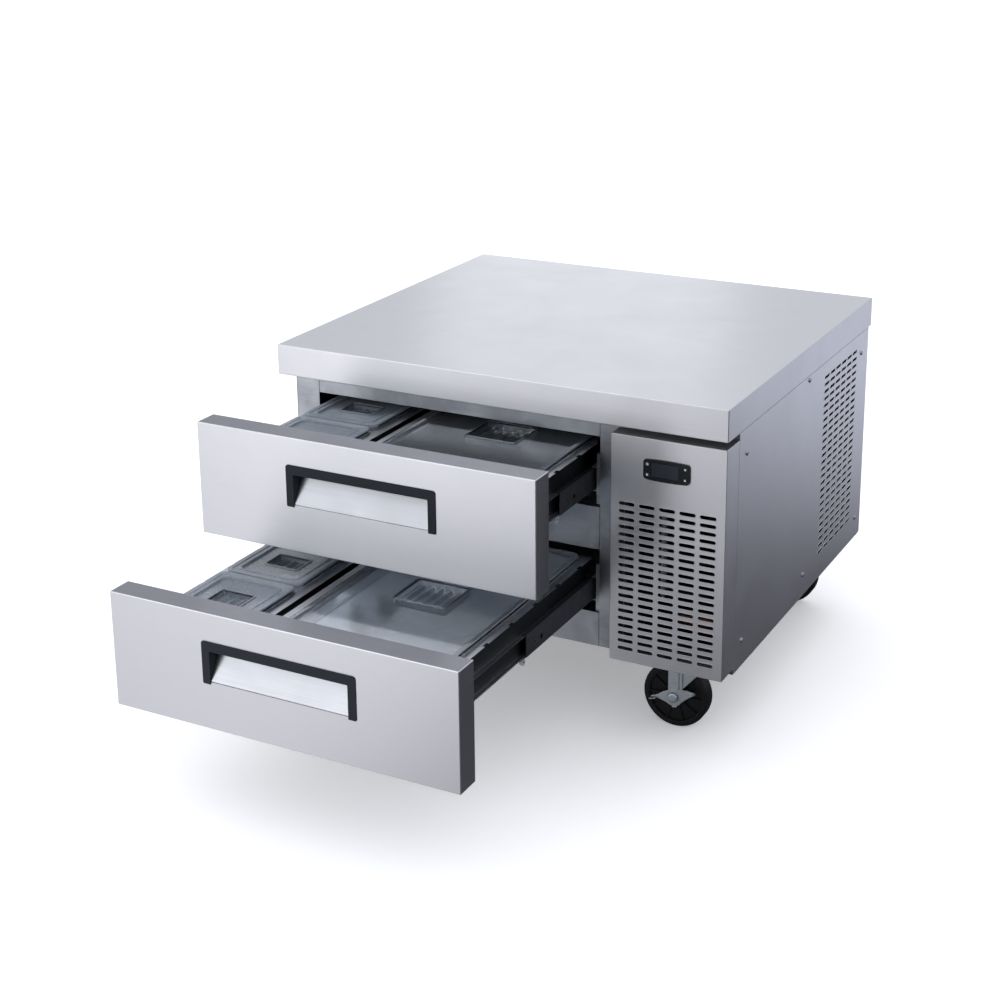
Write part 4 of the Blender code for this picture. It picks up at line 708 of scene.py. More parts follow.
# Rolled studio paper with a faint mottle, lit from below as well, so that shadows on it stay faint
STUDIO_PAPER = Mottled("studio_paper", "F6F6F7", "F2F2F4", smoothest=0.85, roughest=0.95, grain=0.02,
                       relief=0.0, cloud=0.8,
                       others=(("Emission Color", linear("F6F6F7")), ("Emission Strength", 0.3)))


def dress(finish: Finish, *nodes: str) -> None:
    """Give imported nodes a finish, where their own shape stays.

    Args:
        finish: The finish.
        nodes: The nodes' names.
    """
    for name in nodes:
        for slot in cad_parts[name].material_slots:
            slot.material = finish.material()
        log.info("%s: dressed as %s", name, finish.name)


def low_high(node: str) -> tuple[Vector, Vector]:
    """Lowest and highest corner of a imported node."""
    low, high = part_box(node)
    return Vector(low), Vector(high)


def rounded_block(name: str, low: Sequence[float], high: Sequence[float], deep: int, radius: float,
                  segments: int = 3) -> Shape:
    """Add a box whose edges along one axis are rounded.

    Args:
        name: Name of the shape.
        low: Its lowest corner.
        high: Its highest corner.
        deep: The axis that the rounded edges follow.
        radius: Their radius.
        segments: How many flat sides stand for each quarter round.

    Returns:
        The shape.
    """
    block = Shape.block(name, low, high).pick(Pick.EDGE, lambda middle, edge: abs(edge[deep]) > 0.99)
    return block.bevel(radius, segments).rest()


def upright_block(name: str, outline: tuple[Vector, Vector], grow: float, bottom: float, top: float,
                  corner: float, segments: int = 3) -> Shape:
    """Add a block with rounded upright edges over an outline seen from above.

    Args:
        name: Name of the shape.
        outline: Two opposite corners of the outline.
        grow: How far the block reaches past it on each side.
        bottom: The block's lower level.
        top: Its upper level.
        corner: Radius of its upright edges.
        segments: How many flat sides stand for each quarter round.

    Returns:
        The block.
    """
    low, high = outline
    return rounded_block(name, (low.x - grow, low.y - grow, bottom), (high.x + grow, high.y + grow, top),
                         2, corner, segments)


@dataclass
class SlotField:
    """Rows of round-ended slots punched through a sheet.

    The first slot lies between low and high. The pitch leads from it to the next column (x and y) and
    to the next row (z). The sheet's outer face looks outward, and lies at face on that axis.
    """

    low: Vector
    high: Vector
    outward: Vector
    face: float
    flare: float
    columns: int
    rows: int
    pitch: Vector

    @property
    def deep(self) -> int:
        """The axis that goes through the sheet."""
        return 1 if self.outward.y else 0

    def capsule(self, name: str, low: Vector, high: Vector, segments: int) -> Shape:
        """Add a round-ended bar through the sheet, between two corners."""
        return rounded_block(name, low, high, self.deep, (high.z - low.z) * 0.499, segments)

    def spread(self, slot: Shape) -> Shape:
        """Repeat the first slot's shape over the field."""
        return slot.repeat(self.columns, x=self.pitch.x, y=self.pitch.y).repeat(self.rows, z=self.pitch.z)

    def punch(self) -> Shape:
        """Model the tool that cuts the slots and eases their outer edges.

        Returns:
            The tool, reaching past both faces of the sheet.
        """
        tool = self.capsule("slot_punch", self.low, self.high, 4)
        span = self.high - self.low
        factors = [1 if axis == self.deep else 1 + 2 * self.flare / span[axis] for axis in range(3)]
        tool.face(*self.outward).extrude(*(self.outward * self.flare))
        tool.scale(factors, (self.low + self.high) / 2).extrude(*(self.outward * 4 * self.flare))
        return self.spread(tool.rest())

    def lips(self, name: str) -> Shape:
        """Model the lips that the punch leaves round the slots, just proud of the sheet.

        Args:
            name: Name of the lips' piece.

        Returns:
            The lips.
        """
        out = self.outward[self.deep]
        ends = sorted((self.face - out * self.flare, self.face + out * self.flare / 2))
        grow = Vector([0 if axis == self.deep else self.flare for axis in range(3)])
        corners = [self.low - grow, self.high + grow]
        hole = [self.low.copy(), self.high.copy()]
        for step, sign in enumerate((-1, 1)):
            corners[step][self.deep] = ends[step]
            hole[step][self.deep] = self.face + sign * 10 * self.flare
        collar = self.capsule(name, *corners, 2)
        return self.spread(collar.cut(self.capsule("collar_hole", *hole, 2)))


@dataclass(frozen=True)
class Opening:
    """A drawer's opening in the face frame, and the foot of the scoop in the front before it."""

    drawer: str
    low: float
    high: float
    scoop_low: float
    left: float = -0.4046
    right: float = 0.193


UPPER = Opening("upper", 0.4299, 0.5651, 0.48005)
LOWER = Opening("lower", 0.2225, 0.3469, 0.25785)


# Casing

@dataclass
class Worktop:
    """Folded stainless tray that closes the cabinet from above."""

    sheet: float = 0.0015
    turn_under: float = 0.014
    edge_round: float = 0.0016

    def build(self) -> None:
        """Fold the tray: hollow from below, with a return round its lower edge."""
        low, high = low_high("worktop")
        top = Shape.block("worktop_skin", low, high)
        top.face(0, 0, -1).inset(self.turn_under).extrude(z=self.sheet)
        centre = (low + high) / 2
        span = high - low
        factors = [(span[i] - 2 * self.sheet) / (span[i] - 2 * self.turn_under) for i in range(2)]
        top.extrude().scale((*factors, 1), centre).extrude(z=span.z - 2 * self.sheet)

        def on_skin(middle: Vector, direction: Vector) -> bool:
            """True for an edge that lies on two outer faces."""
            return sum(min(abs(middle[i] - low[i]), abs(middle[i] - high[i])) < NEAR for i in range(3)) >= 2

        top.pick(Pick.EDGE, on_skin).bevel(self.edge_round, 4)
        top.finish(STAINLESS, "cabinet", "brushed_stainless", "worktop")


@dataclass
class Casing:
    """Side panels with their louvres and screws, the face frame, the back, the base and the liner."""

    slot_columns: int = 6
    slot_rows: int = 26
    slot_front: float = 0.38675
    slot_pitch_y: float = 0.0359
    slot_pitch_z: float = 0.01465
    slot_top: float = 0.583
    slot_length: float = 0.029
    slot_height: float = 0.0062
    flare: float = 0.0007
    side_fold: float = 0.0004
    seam: float = 0.0006
    frame_sheet: float = 0.0015
    frame_fold: float = 0.0005
    rail_depth: float = 0.040
    surround_side: float = 0.0087
    surround_rim: float = 0.012
    shade_start: float = 0.003
    screw_radius: float = 0.0048
    screw_rim: float = 0.0012
    screw_dome: tuple = ((0.0006, 0.0010), (0.0010, 0.0008), (0.0012, 0.0003))
    drive_reach: float = 0.0018
    drive_width: float = 0.0008
    drive_floor: float = 0.0018
    # How far each screw lies behind the worktop's front, and below its top
    screw_places: tuple = ((0.095, 0.106), (0.095, 0.462), (0.432, 0.068), (0.436, 0.467), (0.767, 0.103),
                           (0.776, 0.468))

    def build(self) -> None:
        """Build every piece of the casing."""
        self.side_panels()
        self.screws()
        self.face_frame()
        self.surround()
        dress(GALVANISED, "back_panel", "base_pan")
        dress(MILL_STAINLESS, "inner_liner")
        # The foam's near-black colour is painted shade.
        dress(FOAM_IN_PAINTED_SHADE, "insulated_body")
        dress(ABS, "cord_gland")

    def side_panels(self) -> None:
        """Bend the side sheets and punch the right one's louvres."""
        for side in ("left", "right"):
            node = f"{side}_side_panel"
            low, high = low_high(node)
            sheet = Shape.block(f"{side}_side_sheet", low, high).soften(self.side_fold)
            if side == "right":
                first_low = Vector((low.x - self.flare, self.slot_front, self.slot_top - self.slot_height))
                first_high = Vector((high.x - self.flare, self.slot_front + self.slot_length, self.slot_top))
                louvres = SlotField(first_low, first_high, Vector((1, 0, 0)), high.x, self.flare,
                                    self.slot_columns, self.slot_rows,
                                    Vector((0, self.slot_pitch_y, -self.slot_pitch_z)))
                sheet.cut(louvres.punch())
                # The lips' bright colour is a painted highlight round each slot.
                louvres.lips("louvre_lips").finish(HIGHLIGHT_LIP, "cabinet", "brushed_stainless", node)
            sheet.finish(STAINLESS, "cabinet", "brushed_stainless", node)

    def screws(self) -> None:
        """Set the pan-head screws of the right side panel."""
        front, top = low_high("worktop")[0].y, low_high("worktop")[1].z
        face = low_high("right_side_panel")[1].x
        first = Shape.drum("screw", (face, 0, 0), self.screw_radius, self.screw_rim, Axis.X, 20)
        first.face(1, 0, 0).steps(*self.screw_dome)
        slot = Shape.block("screw_drive", (face + self.drive_floor, -self.drive_reach, -self.drive_width / 2),
                           (face + PAST, self.drive_reach, self.drive_width / 2))
        across = slot.copy("screw_drive_across").place(Matrix.Rotation(math.pi / 2, 4, "X"))
        first.cut(slot).cut(across)
        for count, (back, down) in enumerate(self.screw_places):
            screw = first.copy(f"side_screw_{count + 1}", y=front + back, z=top - down)
            screw.finish(BRIGHT_STAINLESS, "cabinet", "brushed_stainless")
        first.discard()

    def face_frame(self) -> None:
        """Lay out the sheets of the face frame, each a hairline seam from the next."""
        low, high = low_high("front_frame")
        back = low.y + self.frame_sheet
        left, right = UPPER.left + self.seam, UPPER.right - self.seam
        sheets = {
            "left_stile": (low.x, low.z, UPPER.left, high.z),
            "header": (left, UPPER.high, right, high.z),
            "bottom_rail": (left, low.z, right, LOWER.low),
        }
        for name, (x_low, z_low, x_high, z_high) in sheets.items():
            sheet = Shape.block(name, (x_low, low.y, z_low), (x_high, back, z_high)).soften(self.frame_fold)
            sheet.finish(MILL_STAINLESS, "cabinet", "brushed_stainless", "front_frame")
        rail = Shape.block("middle_rail", (left, low.y, LOWER.high),
                           (right, low.y + self.rail_depth, UPPER.low))
        rail.face(0, 1, 0).inset(self.frame_sheet)
        rail.extrude(y=self.frame_sheet - self.rail_depth).soften(self.frame_fold)
        rail.finish(MILL_STAINLESS, "cabinet", "brushed_stainless", "front_frame")

    def surround(self) -> None:
        """Fold the frame's surround of the machine compartment, painted darker where the cover shades it."""
        low, high = low_high("front_frame")
        back = low.y + self.frame_sheet
        sheet = Shape.block("machine_surround", (UPPER.right, low.y, low.z), (high.x, back, high.z))
        cover_low, cover_high = low_high("front_cover")
        window = Shape.block(
            "surround_window",
            (cover_low.x + self.surround_side, low.y - PAST, cover_low.z + self.surround_rim),
            (high.x - self.surround_rim, back + PAST, cover_high.z - self.surround_rim))
        shade_x = cover_low.x + self.shade_start
        sheet.cut(window).soften(self.frame_fold).slice((shade_x, 0, 0), (1, 0, 0)).rest()
        sheet.finish(MILL_STAINLESS, "cabinet", "brushed_stainless", "front_frame")
        # Behind the cover the sheet takes the dark slide steel as painted shade.
        sheet.paint(SLIDE_STEEL, lambda m, n: m.x > shade_x)


@dataclass
class MachineCover:
    """Folded cover of the machine compartment, with its air slots and its controller."""

    sheet: float = 0.0012
    fold: float = 0.0011
    columns: int = 5
    rows: int = 20
    slot_left: float = 0.016
    slot_pitch_x: float = 0.0381
    slot_pitch_z: float = 0.0146
    slot_width: float = 0.0305
    slot_height: float = 0.007
    slot_drop: float = 0.124
    flare: float = 0.0008
    case_half_width: float = 0.0358
    case_half_height: float = 0.0148
    case_wall: float = 0.002
    play: float = 0.0003
    fascia: float = 0.0035
    bow: float = 0.0016
    bow_steps: int = 8
    bezel_corner: float = 0.006
    window_left: float = 0.0151
    window_width: float = 0.0506
    window_half: float = 0.0125
    window_sink: float = 0.0008
    key_sink: float = 0.0009
    symbol_radius: float = 0.0023
    keys: tuple = ("left_upper_button", "left_lower_button", "right_upper_button", "right_lower_button")

    def build(self) -> None:
        """Build the cover, the bezel, the window and the keys."""
        self.cover()
        self.bezel()
        for key in self.keys:
            self.key(key)

    def cover(self) -> None:
        """Fold the cover, punch its slots and cut the controller's hole."""
        low, high = low_high("front_cover")
        shell = Shape.block("machine_cover", low, high)
        shell.face(0, 1, 0).inset(self.sheet).extrude(y=self.sheet - (high.y - low.y))
        shell.pick(Pick.EDGE, lambda m, d: abs(m.y - low.y) < NEAR or
                   (abs(d.y) > 0.99 and not low.x + NEAR < m.x < high.x - NEAR)).bevel(self.fold, 3)
        top = high.z - self.slot_drop
        left = low.x + self.slot_left
        slots = SlotField(Vector((left, low.y + self.flare, top - self.slot_height)),
                          Vector((left + self.slot_width, low.y + 3 * self.sheet, top)),
                          Vector((0, -1, 0)), low.y, self.flare, self.columns, self.rows,
                          Vector((self.slot_pitch_x, 0, -self.slot_pitch_z)))
        # The lips' bright colour is a painted highlight round each slot.
        slots.lips("slot_lips").finish(HIGHLIGHT_LIP, "cabinet", "brushed_stainless", "front_cover")
        bezel_low, bezel_high = low_high("controller_bezel")
        middle = (bezel_low + bezel_high) / 2
        middle.y = low.y
        reach = Vector((self.case_half_width, PAST, self.case_half_height))
        hole = Shape.block("controller_hole", middle - reach, middle + reach)
        shell.cut(slots.punch().join(hole))
        shell.finish(STAINLESS, "cabinet", "brushed_stainless", "front_cover")

    def bezel(self) -> None:
        """Mould the bezel's plate with its pockets, its case behind and the smoked window."""
        low, high = low_high("controller_bezel")
        middle = (low + high) / 2
        plate = self.bowed_plate()
        left = middle.x - (high.x - low.x) / 2 + self.window_left
        right = left + self.window_width
        plate.cut(rounded_block("window_recess", (left, low.y - PAST, middle.z - self.window_half),
                                (right, low.y + self.window_sink, middle.z + self.window_half), 1, 0.0015, 4))
        for name in self.keys:
            key_low, key_high = low_high(name)
            pocket_low = (key_low.x - self.play, low.y - PAST, key_low.z - self.play)
            pocket_high = (key_high.x + self.play, key_high.y + self.key_sink, key_high.z + self.play)
            plate.cut(rounded_block("key_pocket", pocket_low, pocket_high, 1, 0.0012))
        plate.soften(0.0007, 3, 50)
        width, height = self.case_half_width - self.play, self.case_half_height - self.play
        seat = low.y + self.fascia
        case = Shape.block("controller_case", (middle.x - width, seat - 0.0005, middle.z - height),
                           (middle.x + width, high.y, middle.z + height))
        case.face(0, 1, 0).inset(self.case_wall).extrude(y=-self.case_wall)
        plate.join(case.soften(0.0006)).finish(GLOSS_ABS, "cabinet", "black_abs", "controller_bezel")
        half = self.window_half - 0.0001
        glass = rounded_block("display_window", (left + 0.0001, low.y + 0.0002, middle.z - half),
                              (right - 0.0001, low.y + 0.0009, middle.z + half), 1, 0.0014, 4)
        glass.soften(0.0002).finish(SMOKED_ACRYLIC, "cabinet", "black_abs")

    def bowed_plate(self) -> Shape:
        """Mould the bezel's plate, whose long edges bow outward.

        Returns:
            The plate.
        """
        low, high = low_high("controller_bezel")
        middle = (low + high) / 2
        half = (high.x - low.x) / 2
        plate = rounded_block("controller_fascia", (low.x, low.y, low.z + self.bow),
                              (high.x, low.y + self.fascia, high.z - self.bow), 1, self.bezel_corner, 5)
        steps = range(1 - self.bow_steps, self.bow_steps)
        for step in steps:
            plate.slice((middle.x + step * half / self.bow_steps, middle.y, middle.z), (1, 0, 0))
        for sign in (-1, 1):
            for step in steps:
                lift = sign * self.bow * (1 - (step / self.bow_steps) ** 2)
                x = middle.x + step * half / self.bow_steps
                plate.pick(Pick.CORNER, lambda p, n, x=x, sign=sign: abs(p.x - x) < NEAR
                           and sign * (p.z - middle.z) > 0.01).shift(z=lift)
        return plate.rest()

    def key(self, name: str) -> None:
        """Mould a key and print its symbol: a triangle on a right key, a ring or a square on a left one.

        Args:
            name: The key's node, and the body it is.
        """
        low, high = low_high(name)
        cap = rounded_block(f"{name}_cap", low, high, 1, 0.0011)
        cap.face(0, -1, 0).inset(0.0007, 0.0003)
        cap.finish(KEY_SILICONE, name, "black_key", name)
        centre = (low + high) / 2
        centre.y = low.y - 0.0003
        sides = {"left_upper_button": 16, "left_lower_button": 4}.get(name, 3)
        mark = Shape.drum(f"{name}_symbol", centre, self.symbol_radius, 0.0002, Axis.Y, sides)
        if sides != 3:
            mark.face(0, -1, 0).inset(0.0005, -0.0001).rest()
        angle = {"left_lower_button": math.pi / 4, "right_lower_button": math.pi}.get(name)
        if angle:
            turn = Matrix.Rotation(angle, 4, "Y")
            mark.place(Matrix.Translation(centre) @ turn @ Matrix.Translation(-centre))
        mark.finish(SYMBOL_INK, name, "black_key")


# Drawers

@dataclass
class PullDrawer:
    """One drawer: its front with the recessed pull, its seal, its pan frame, pans and lids."""

    opening: Opening
    skin: float = 0.0012
    fold_depth: float = 0.0146
    fold_round: float = 0.0014
    scoop_depth: float = 0.028
    finger_rise: float = 0.010
    cheek: float = 0.0022
    play: float = 0.0003
    seam: float = 0.0008
    seam_depth: float = 0.003
    plate_gap: float = 0.0002
    plate_sheet: float = 0.0006
    leg: float = 0.0155
    bar: float = 0.018
    corner: float = 0.006
    foot_corner: float = 0.003
    lip_depth: float = 0.010
    seal_width: float = 0.015
    seal_gap: float = 0.0035
    seal_depth: float = 0.0106
    groove_start: float = 0.004
    groove_end: float = 0.0065

    def __post_init__(self) -> None:
        """Read the places of the front and of its pull."""
        self.name = self.opening.drawer
        self.body = f"{self.name}_drawer"
        self.low, self.high = low_high(f"{self.body}_front")
        self.pull_low, self.pull_high = low_high(f"{self.body}_pull")
        self.left, self.right = self.pull_low.x + self.leg, self.pull_high.x - self.leg
        self.bar_low = self.pull_high.z - self.bar

    def build(self) -> None:
        """Build every piece of the drawer."""
        self.front()
        self.scoop()
        self.pull()
        self.seal()
        dress(PANEL_PLASTIC, f"{self.body}_panel")
        runner = Shape.node_copy(f"{self.name}_runner_frame", f"{self.body}_frame").soften(0.0004)
        # The runner frame's level faces carry painted light, and its walls painted shade.
        runner.finish(TOP_LIT_STAINLESS, self.body, "brushed_stainless", f"{self.body}_frame")
        for place in ("full", "front", "middle", "rear"):
            Pan(self.name, place).build()
            Lid(self.name, place).build()

    def front(self) -> None:
        """Fold the front's skin, hollow behind, and press the pocket of its pull."""
        low, high, foot = self.low, self.high, self.opening.scoop_low
        left, right = self.left - self.cheek, self.right + self.cheek
        skin = Shape.block(f"{self.name}_front_skin", low, high)
        skin.face(0, 1, 0).inset(self.skin).extrude(y=-self.fold_depth)
        skin.pick(Pick.EDGE, lambda m, d: abs(m.y - low.y) < NEAR or
                  (abs(d.y) > 0.99 and min(m.x - low.x, high.x - m.x) < NEAR)).bevel(self.fold_round, 4)
        tool = Shape.block("pocket_tool", (left - self.play, low.y - PAST, foot),
                           (right + self.play, low.y + self.scoop_depth, self.bar_low + self.finger_rise))
        tool.slice((0, low.y, self.bar_low), (0, 0, 1))
        tool.pick(Pick.CORNER, lambda p, n: p.y > low.y and p.z < foot + NEAR)
        tool.shift(y=self.seam_depth / 10 - self.scoop_depth)
        seam = Shape.block("seam_tool", (left, low.y - PAST, foot - self.seam),
                           (right, low.y + self.seam_depth, foot + self.seam))
        skin.cut(seam).cut(tool)
        skin.finish(STAINLESS, self.body, "brushed_stainless", f"{self.body}_front")
        # The top, bottom and side returns take a darker copy of the sheet as painted shade.
        skin.paint(SHADED_RETURN_STAINLESS, lambda m, n: abs(n.y) < 0.1 and min(
            abs(m[axis] - end[axis]) for axis in (0, 2) for end in (low, high)) < NEAR)

    def scoop(self) -> None:
        """Lay the buffed plate on the pocket's slope, just above a thin seam."""
        foot, head = self.opening.scoop_low + self.seam, self.bar_low + self.finger_rise / 2
        slope = self.scoop_depth / (self.bar_low - self.opening.scoop_low)
        near = self.low.y + self.plate_gap
        plate = Shape.block(f"{self.name}_scoop_plate", (self.left - self.cheek, near, foot),
                            (self.right + self.cheek, near + self.plate_sheet, head))
        plate.pick(Pick.CORNER, lambda p, n: p.z > self.bar_low).shift(y=slope * (head - foot))
        plate.soften(0.0002).finish(BRIGHT_STAINLESS, self.body, "brushed_stainless")

    def pull(self) -> None:
        """Mould the black inverted U, the lip under its bar and a cheek at each end."""
        low, high, face = self.pull_low, self.pull_high, self.low.y
        bar_low, left, right = self.bar_low, self.left, self.right
        arch = Shape.block(f"{self.name}_pull_arch", low, (high.x, face - 0.0001, high.z))
        arch.pick(Pick.EDGE, lambda m, d: abs(d.y) > 0.99 and m.z > bar_low).bevel(self.corner, 6)
        arch.pick(Pick.EDGE, lambda m, d: abs(d.y) > 0.99 and m.z < low.z + NEAR).bevel(self.foot_corner, 4)
        window = Shape.block("pull_window", (left, low.y - PAST, low.z - PAST), (right, face + PAST, bar_low))
        window.pick(Pick.EDGE, lambda m, d: abs(d.y) > 0.99 and m.z > bar_low - NEAR).bevel(0.0012, 3)
        arch.cut(window.rest()).soften(0.0005, 2, 40)
        lip = Shape.block("pull_lip", (left - self.cheek, face - 0.0005, bar_low),
                          (right + self.cheek, face + self.lip_depth, bar_low + self.cheek)).soften(0.0006)
        cheeks = []
        for start in (left - self.cheek, right):
            cheek = Shape.block("pull_cheek", (start, face - 0.0004, self.opening.scoop_low + 0.002),
                                (start + self.cheek, face + self.scoop_depth - 0.002, bar_low + 0.001))
            cheek.pick(Pick.CORNER, lambda p, n: p.y > face + self.lip_depth and p.z < bar_low)
            cheek.shift(y=0.0026 - self.scoop_depth)
            cheeks.append(cheek.soften(0.0003))
        arch.join(lip, *cheeks).finish(ABS, self.body, "black_abs", f"{self.body}_pull")

    def frame_block(self, name: str, grow: float, start: float, end: float) -> Shape:
        """Add a block over the drawer's opening, behind the front.

        Args:
            name: Name of the shape.
            grow: How far it reaches past the opening on each side.
            start: How far behind the inner panel it starts.
            end: How far behind the inner panel it ends.

        Returns:
            The block.
        """
        back = low_high(f"{self.body}_panel")[1].y
        hole = self.opening
        return Shape.block(name, (hole.left - grow, back + start, hole.low - grow),
                           (hole.right + grow, back + end, hole.high + grow))

    def seal(self) -> None:
        """Run the magnetic seal round the back of the front, with its bellows groove."""
        ring = self.frame_block(f"{self.name}_seal", self.seal_gap + self.seal_width, 0.0001, self.seal_depth)
        ring.cut(self.frame_block("seal_hole", self.seal_gap, -PAST, 3 * PAST))
        ring.cut(self.frame_block("seal_groove", self.seal_gap + 0.004, self.groove_start, self.groove_end))
        ring.soften(0.0012, 2).finish(GASKET_VINYL, self.body, "liner_plastic")


@dataclass
class Pan:
    """A clear food pan hung by its rim, with a shoulder that lets pans stack."""

    drawer: str
    place: str
    rim: float = 0.016
    ledge: float = 0.0115
    wall: float = 0.0025
    rim_height: float = 0.003
    corner: float = 0.018
    taper: float = 0.006
    shoulder: float = 0.018
    step: float = 0.002
    foot_height: float = 0.008
    foot_taper: float = 0.009

    def build(self) -> None:
        """Mould the tub under its rim."""
        node = f"{self.drawer}_{self.place}_pan"
        low, high = low_high(node)
        tub = rounded_block(f"{node}_moulding", (low.x, low.y, high.z - self.rim_height), high, 2,
                            self.corner, 6)
        middle, span = (low + high) / 2, high - low
        reaches = (self.ledge, self.ledge, self.rim, self.rim + self.taper,
                   self.rim + self.taper + self.foot_taper)
        side = span.z - self.rim_height - self.shoulder - self.step - self.foot_height
        outside = (0, self.shoulder, self.step, side, self.foot_height)
        inside = (0, self.shoulder + self.rim_height, self.step, side - 0.002, self.foot_height - 0.0005)
        for up, drops, wall in ((-1, outside, 0), (1, inside, self.wall)):
            tub.face(0, 0, up)
            last = 0
            for drop, reach in zip(drops, reaches):
                factors = [(length - 2 * (reach + wall)) / (length - 2 * last) for length in span[:2]]
                tub.extrude(z=-drop).scale((*factors, 1), middle)
                last = reach + wall
        tub.soften(0.0008, 2, 40)
        tub.finish(POLYCARBONATE, f"{self.drawer}_drawer", "clear_polycarbonate", node)


@dataclass(frozen=True)
class Grip:
    """Finger grip of a lid: a pocket with ribs across it, each one bar, or two leaves.

    Two leaves lean towards each other by an angle in degrees, each standing off by the spread.
    """

    width: float
    length: float
    depth: float
    ribs: int
    half_rib: float
    rib_height: float
    lean: float = 0.0
    spread: float = 0.0
    wall: float = 0.0018
    floor_rise: float = 0.0015
    border: float = 0.0016
    border_height: float = 0.0018
    margin: float = 0.007
    rib_margin: float = 0.006
    rib_floor: float = 0.0035


BARRED_GRIP = Grip(0.104, 0.095, 0.015, 5, 0.0012, 0.006)
PLEATED_GRIP = Grip(0.070, 0.052, 0.014, 3, 0.0006, 0.0085, 32, 0.0048)


@dataclass
class Lid:
    """A pan's lid: a hollow rim round a sunk panel, with a raised ring on the small ones, and a grip."""

    drawer: str
    place: str
    height: float = 0.0065
    rim: float = 0.008
    wall: float = 0.0014
    corner: float = 0.016
    gap: float = 0.0003
    sink: float = 0.0042
    slope: float = 0.0015
    shelf: float = 0.0014
    recess: float = 0.021
    recess_corner: float = 0.012
    ring_width: float = 0.004
    ring_inset: float = 0.0006
    grip_reach: float = 0.2633

    def __post_init__(self) -> None:
        """Read the pan's place, and find the lid's levels and its grip's centre."""
        self.node = f"{self.drawer}_{self.place}_pan"
        self.full = self.place == "full"
        low, high = self.outline = low_high(self.node)
        self.base = high.z + self.gap
        self.top = self.base + self.height
        self.panel = self.top - self.sink
        self.grip = BARRED_GRIP if self.full else PLEATED_GRIP
        self.centre = (low + high) / 2
        if self.full:
            self.centre.y = low.y + self.grip_reach

    def build(self) -> None:
        """Mould the lid with its grip."""
        lid = self.plate()
        extras = [] if self.full else [self.ring(lid)]
        lid.soften(0.0005, 2, 40)
        extras += self.pocket(lid) + self.ribs()
        nodes = [f"{self.drawer}_full_lid"] if self.full else []
        plastic = POLYCARBONATE if self.full else FROSTED_PLASTIC
        lid.join(*extras).finish(plastic, f"{self.drawer}_drawer", "clear_polycarbonate", *nodes)

    def plate(self) -> Shape:
        """Mould the rim with its hollow underside, and the panel or the shelf inside it.

        Returns:
            The lid as far as it is made.
        """
        lid = upright_block(f"{self.node}_lid", self.outline, -self.wall, self.base, self.top, self.corner, 6)
        lid.face(0, 0, 1)
        lid.steps((self.rim, 0), (self.slope, -self.sink if self.full else -self.shelf))
        lid.face(0, 0, -1).steps((self.wall, 0), (self.rim - 2 * self.wall, 0))
        lid.pick(Pick.FACE, lambda m, n: n.z < -0.99 and self.wall < min(
            abs(m[axis] - end[axis]) for axis in (0, 1) for end in self.outline) < self.rim)
        return lid.extrude(z=self.height - 2 * self.wall).rest()

    def ring(self, lid: Shape) -> Shape:
        """Sink the panel of a small lid.

        Args:
            lid: The lid.

        Returns:
            The raised ring round the panel.
        """
        lid.cut(upright_block("lid_recess", self.outline, -self.recess, self.panel, self.top + PAST,
                              self.recess_corner, 6))
        ring = upright_block("lid_ring", self.outline, self.ring_width - self.recess, self.top - 0.002,
                             self.top - 0.0002, self.recess_corner + 0.0035, 6)
        ring.cut(upright_block("ring_hole", self.outline, self.ring_inset - self.recess, self.base,
                               self.top + PAST, self.recess_corner + 0.0005, 6))
        return ring.soften(0.0005, 2, 40)

    def pocket(self, lid: Shape) -> list[Shape]:
        """Open the lid for its grip.

        Args:
            lid: The lid.

        Returns:
            The grip's pocket and the border round it.
        """
        grip, panel = self.grip, self.panel
        reach = Vector((grip.width / 2, grip.length / 2, 0))
        outline = (self.centre - reach, self.centre + reach)
        bottom = self.base - grip.depth + 0.002
        pocket = upright_block("grip_pocket", outline, 0, bottom, panel + 0.001, 0.005)
        pocket.face(0, 0, 1).inset(grip.wall)
        pocket.extrude(z=grip.floor_rise - grip.depth)
        lid.cut(upright_block("grip_hole", outline, -grip.wall, self.base - PAST, panel + PAST, 0.0035))
        pocket.soften(0.0004, 1, 40)
        border = upright_block("grip_border", outline, grip.border, panel, panel + grip.border_height, 0.006)
        border.cut(upright_block("border_hole", outline, -grip.border, panel - PAST, panel + PAST, 0.004))
        return [pocket, border.soften(0.0004, 2, 40)]

    def ribs(self) -> list[Shape]:
        """Mould the grip's ribs, evenly across its pocket.

        Returns:
            The ribs.
        """
        grip = self.grip
        reach = grip.length / 2 - grip.rib_margin
        rib = Shape.block("grip_rib", (-grip.half_rib, -reach, 0), (grip.half_rib, reach, grip.rib_height))
        if grip.lean:
            lean = Matrix.Rotation(math.radians(grip.lean), 4, "Y")
            other = rib.copy("other_leaf").place(Matrix.Translation((grip.spread, 0, 0)) @ lean.inverted())
            rib.place(Matrix.Translation((-grip.spread, 0, 0)) @ lean).join(other)
        pitch = (grip.width - 2 * grip.margin) / grip.ribs
        start = self.centre.x - grip.width / 2 + grip.margin
        ribs = [rib.copy("rib", x=start + pitch * (count + 0.5), y=self.centre.y,
                         z=self.base - grip.depth + grip.rib_floor) for count in range(grip.ribs)]
        rib.discard()
        return ribs


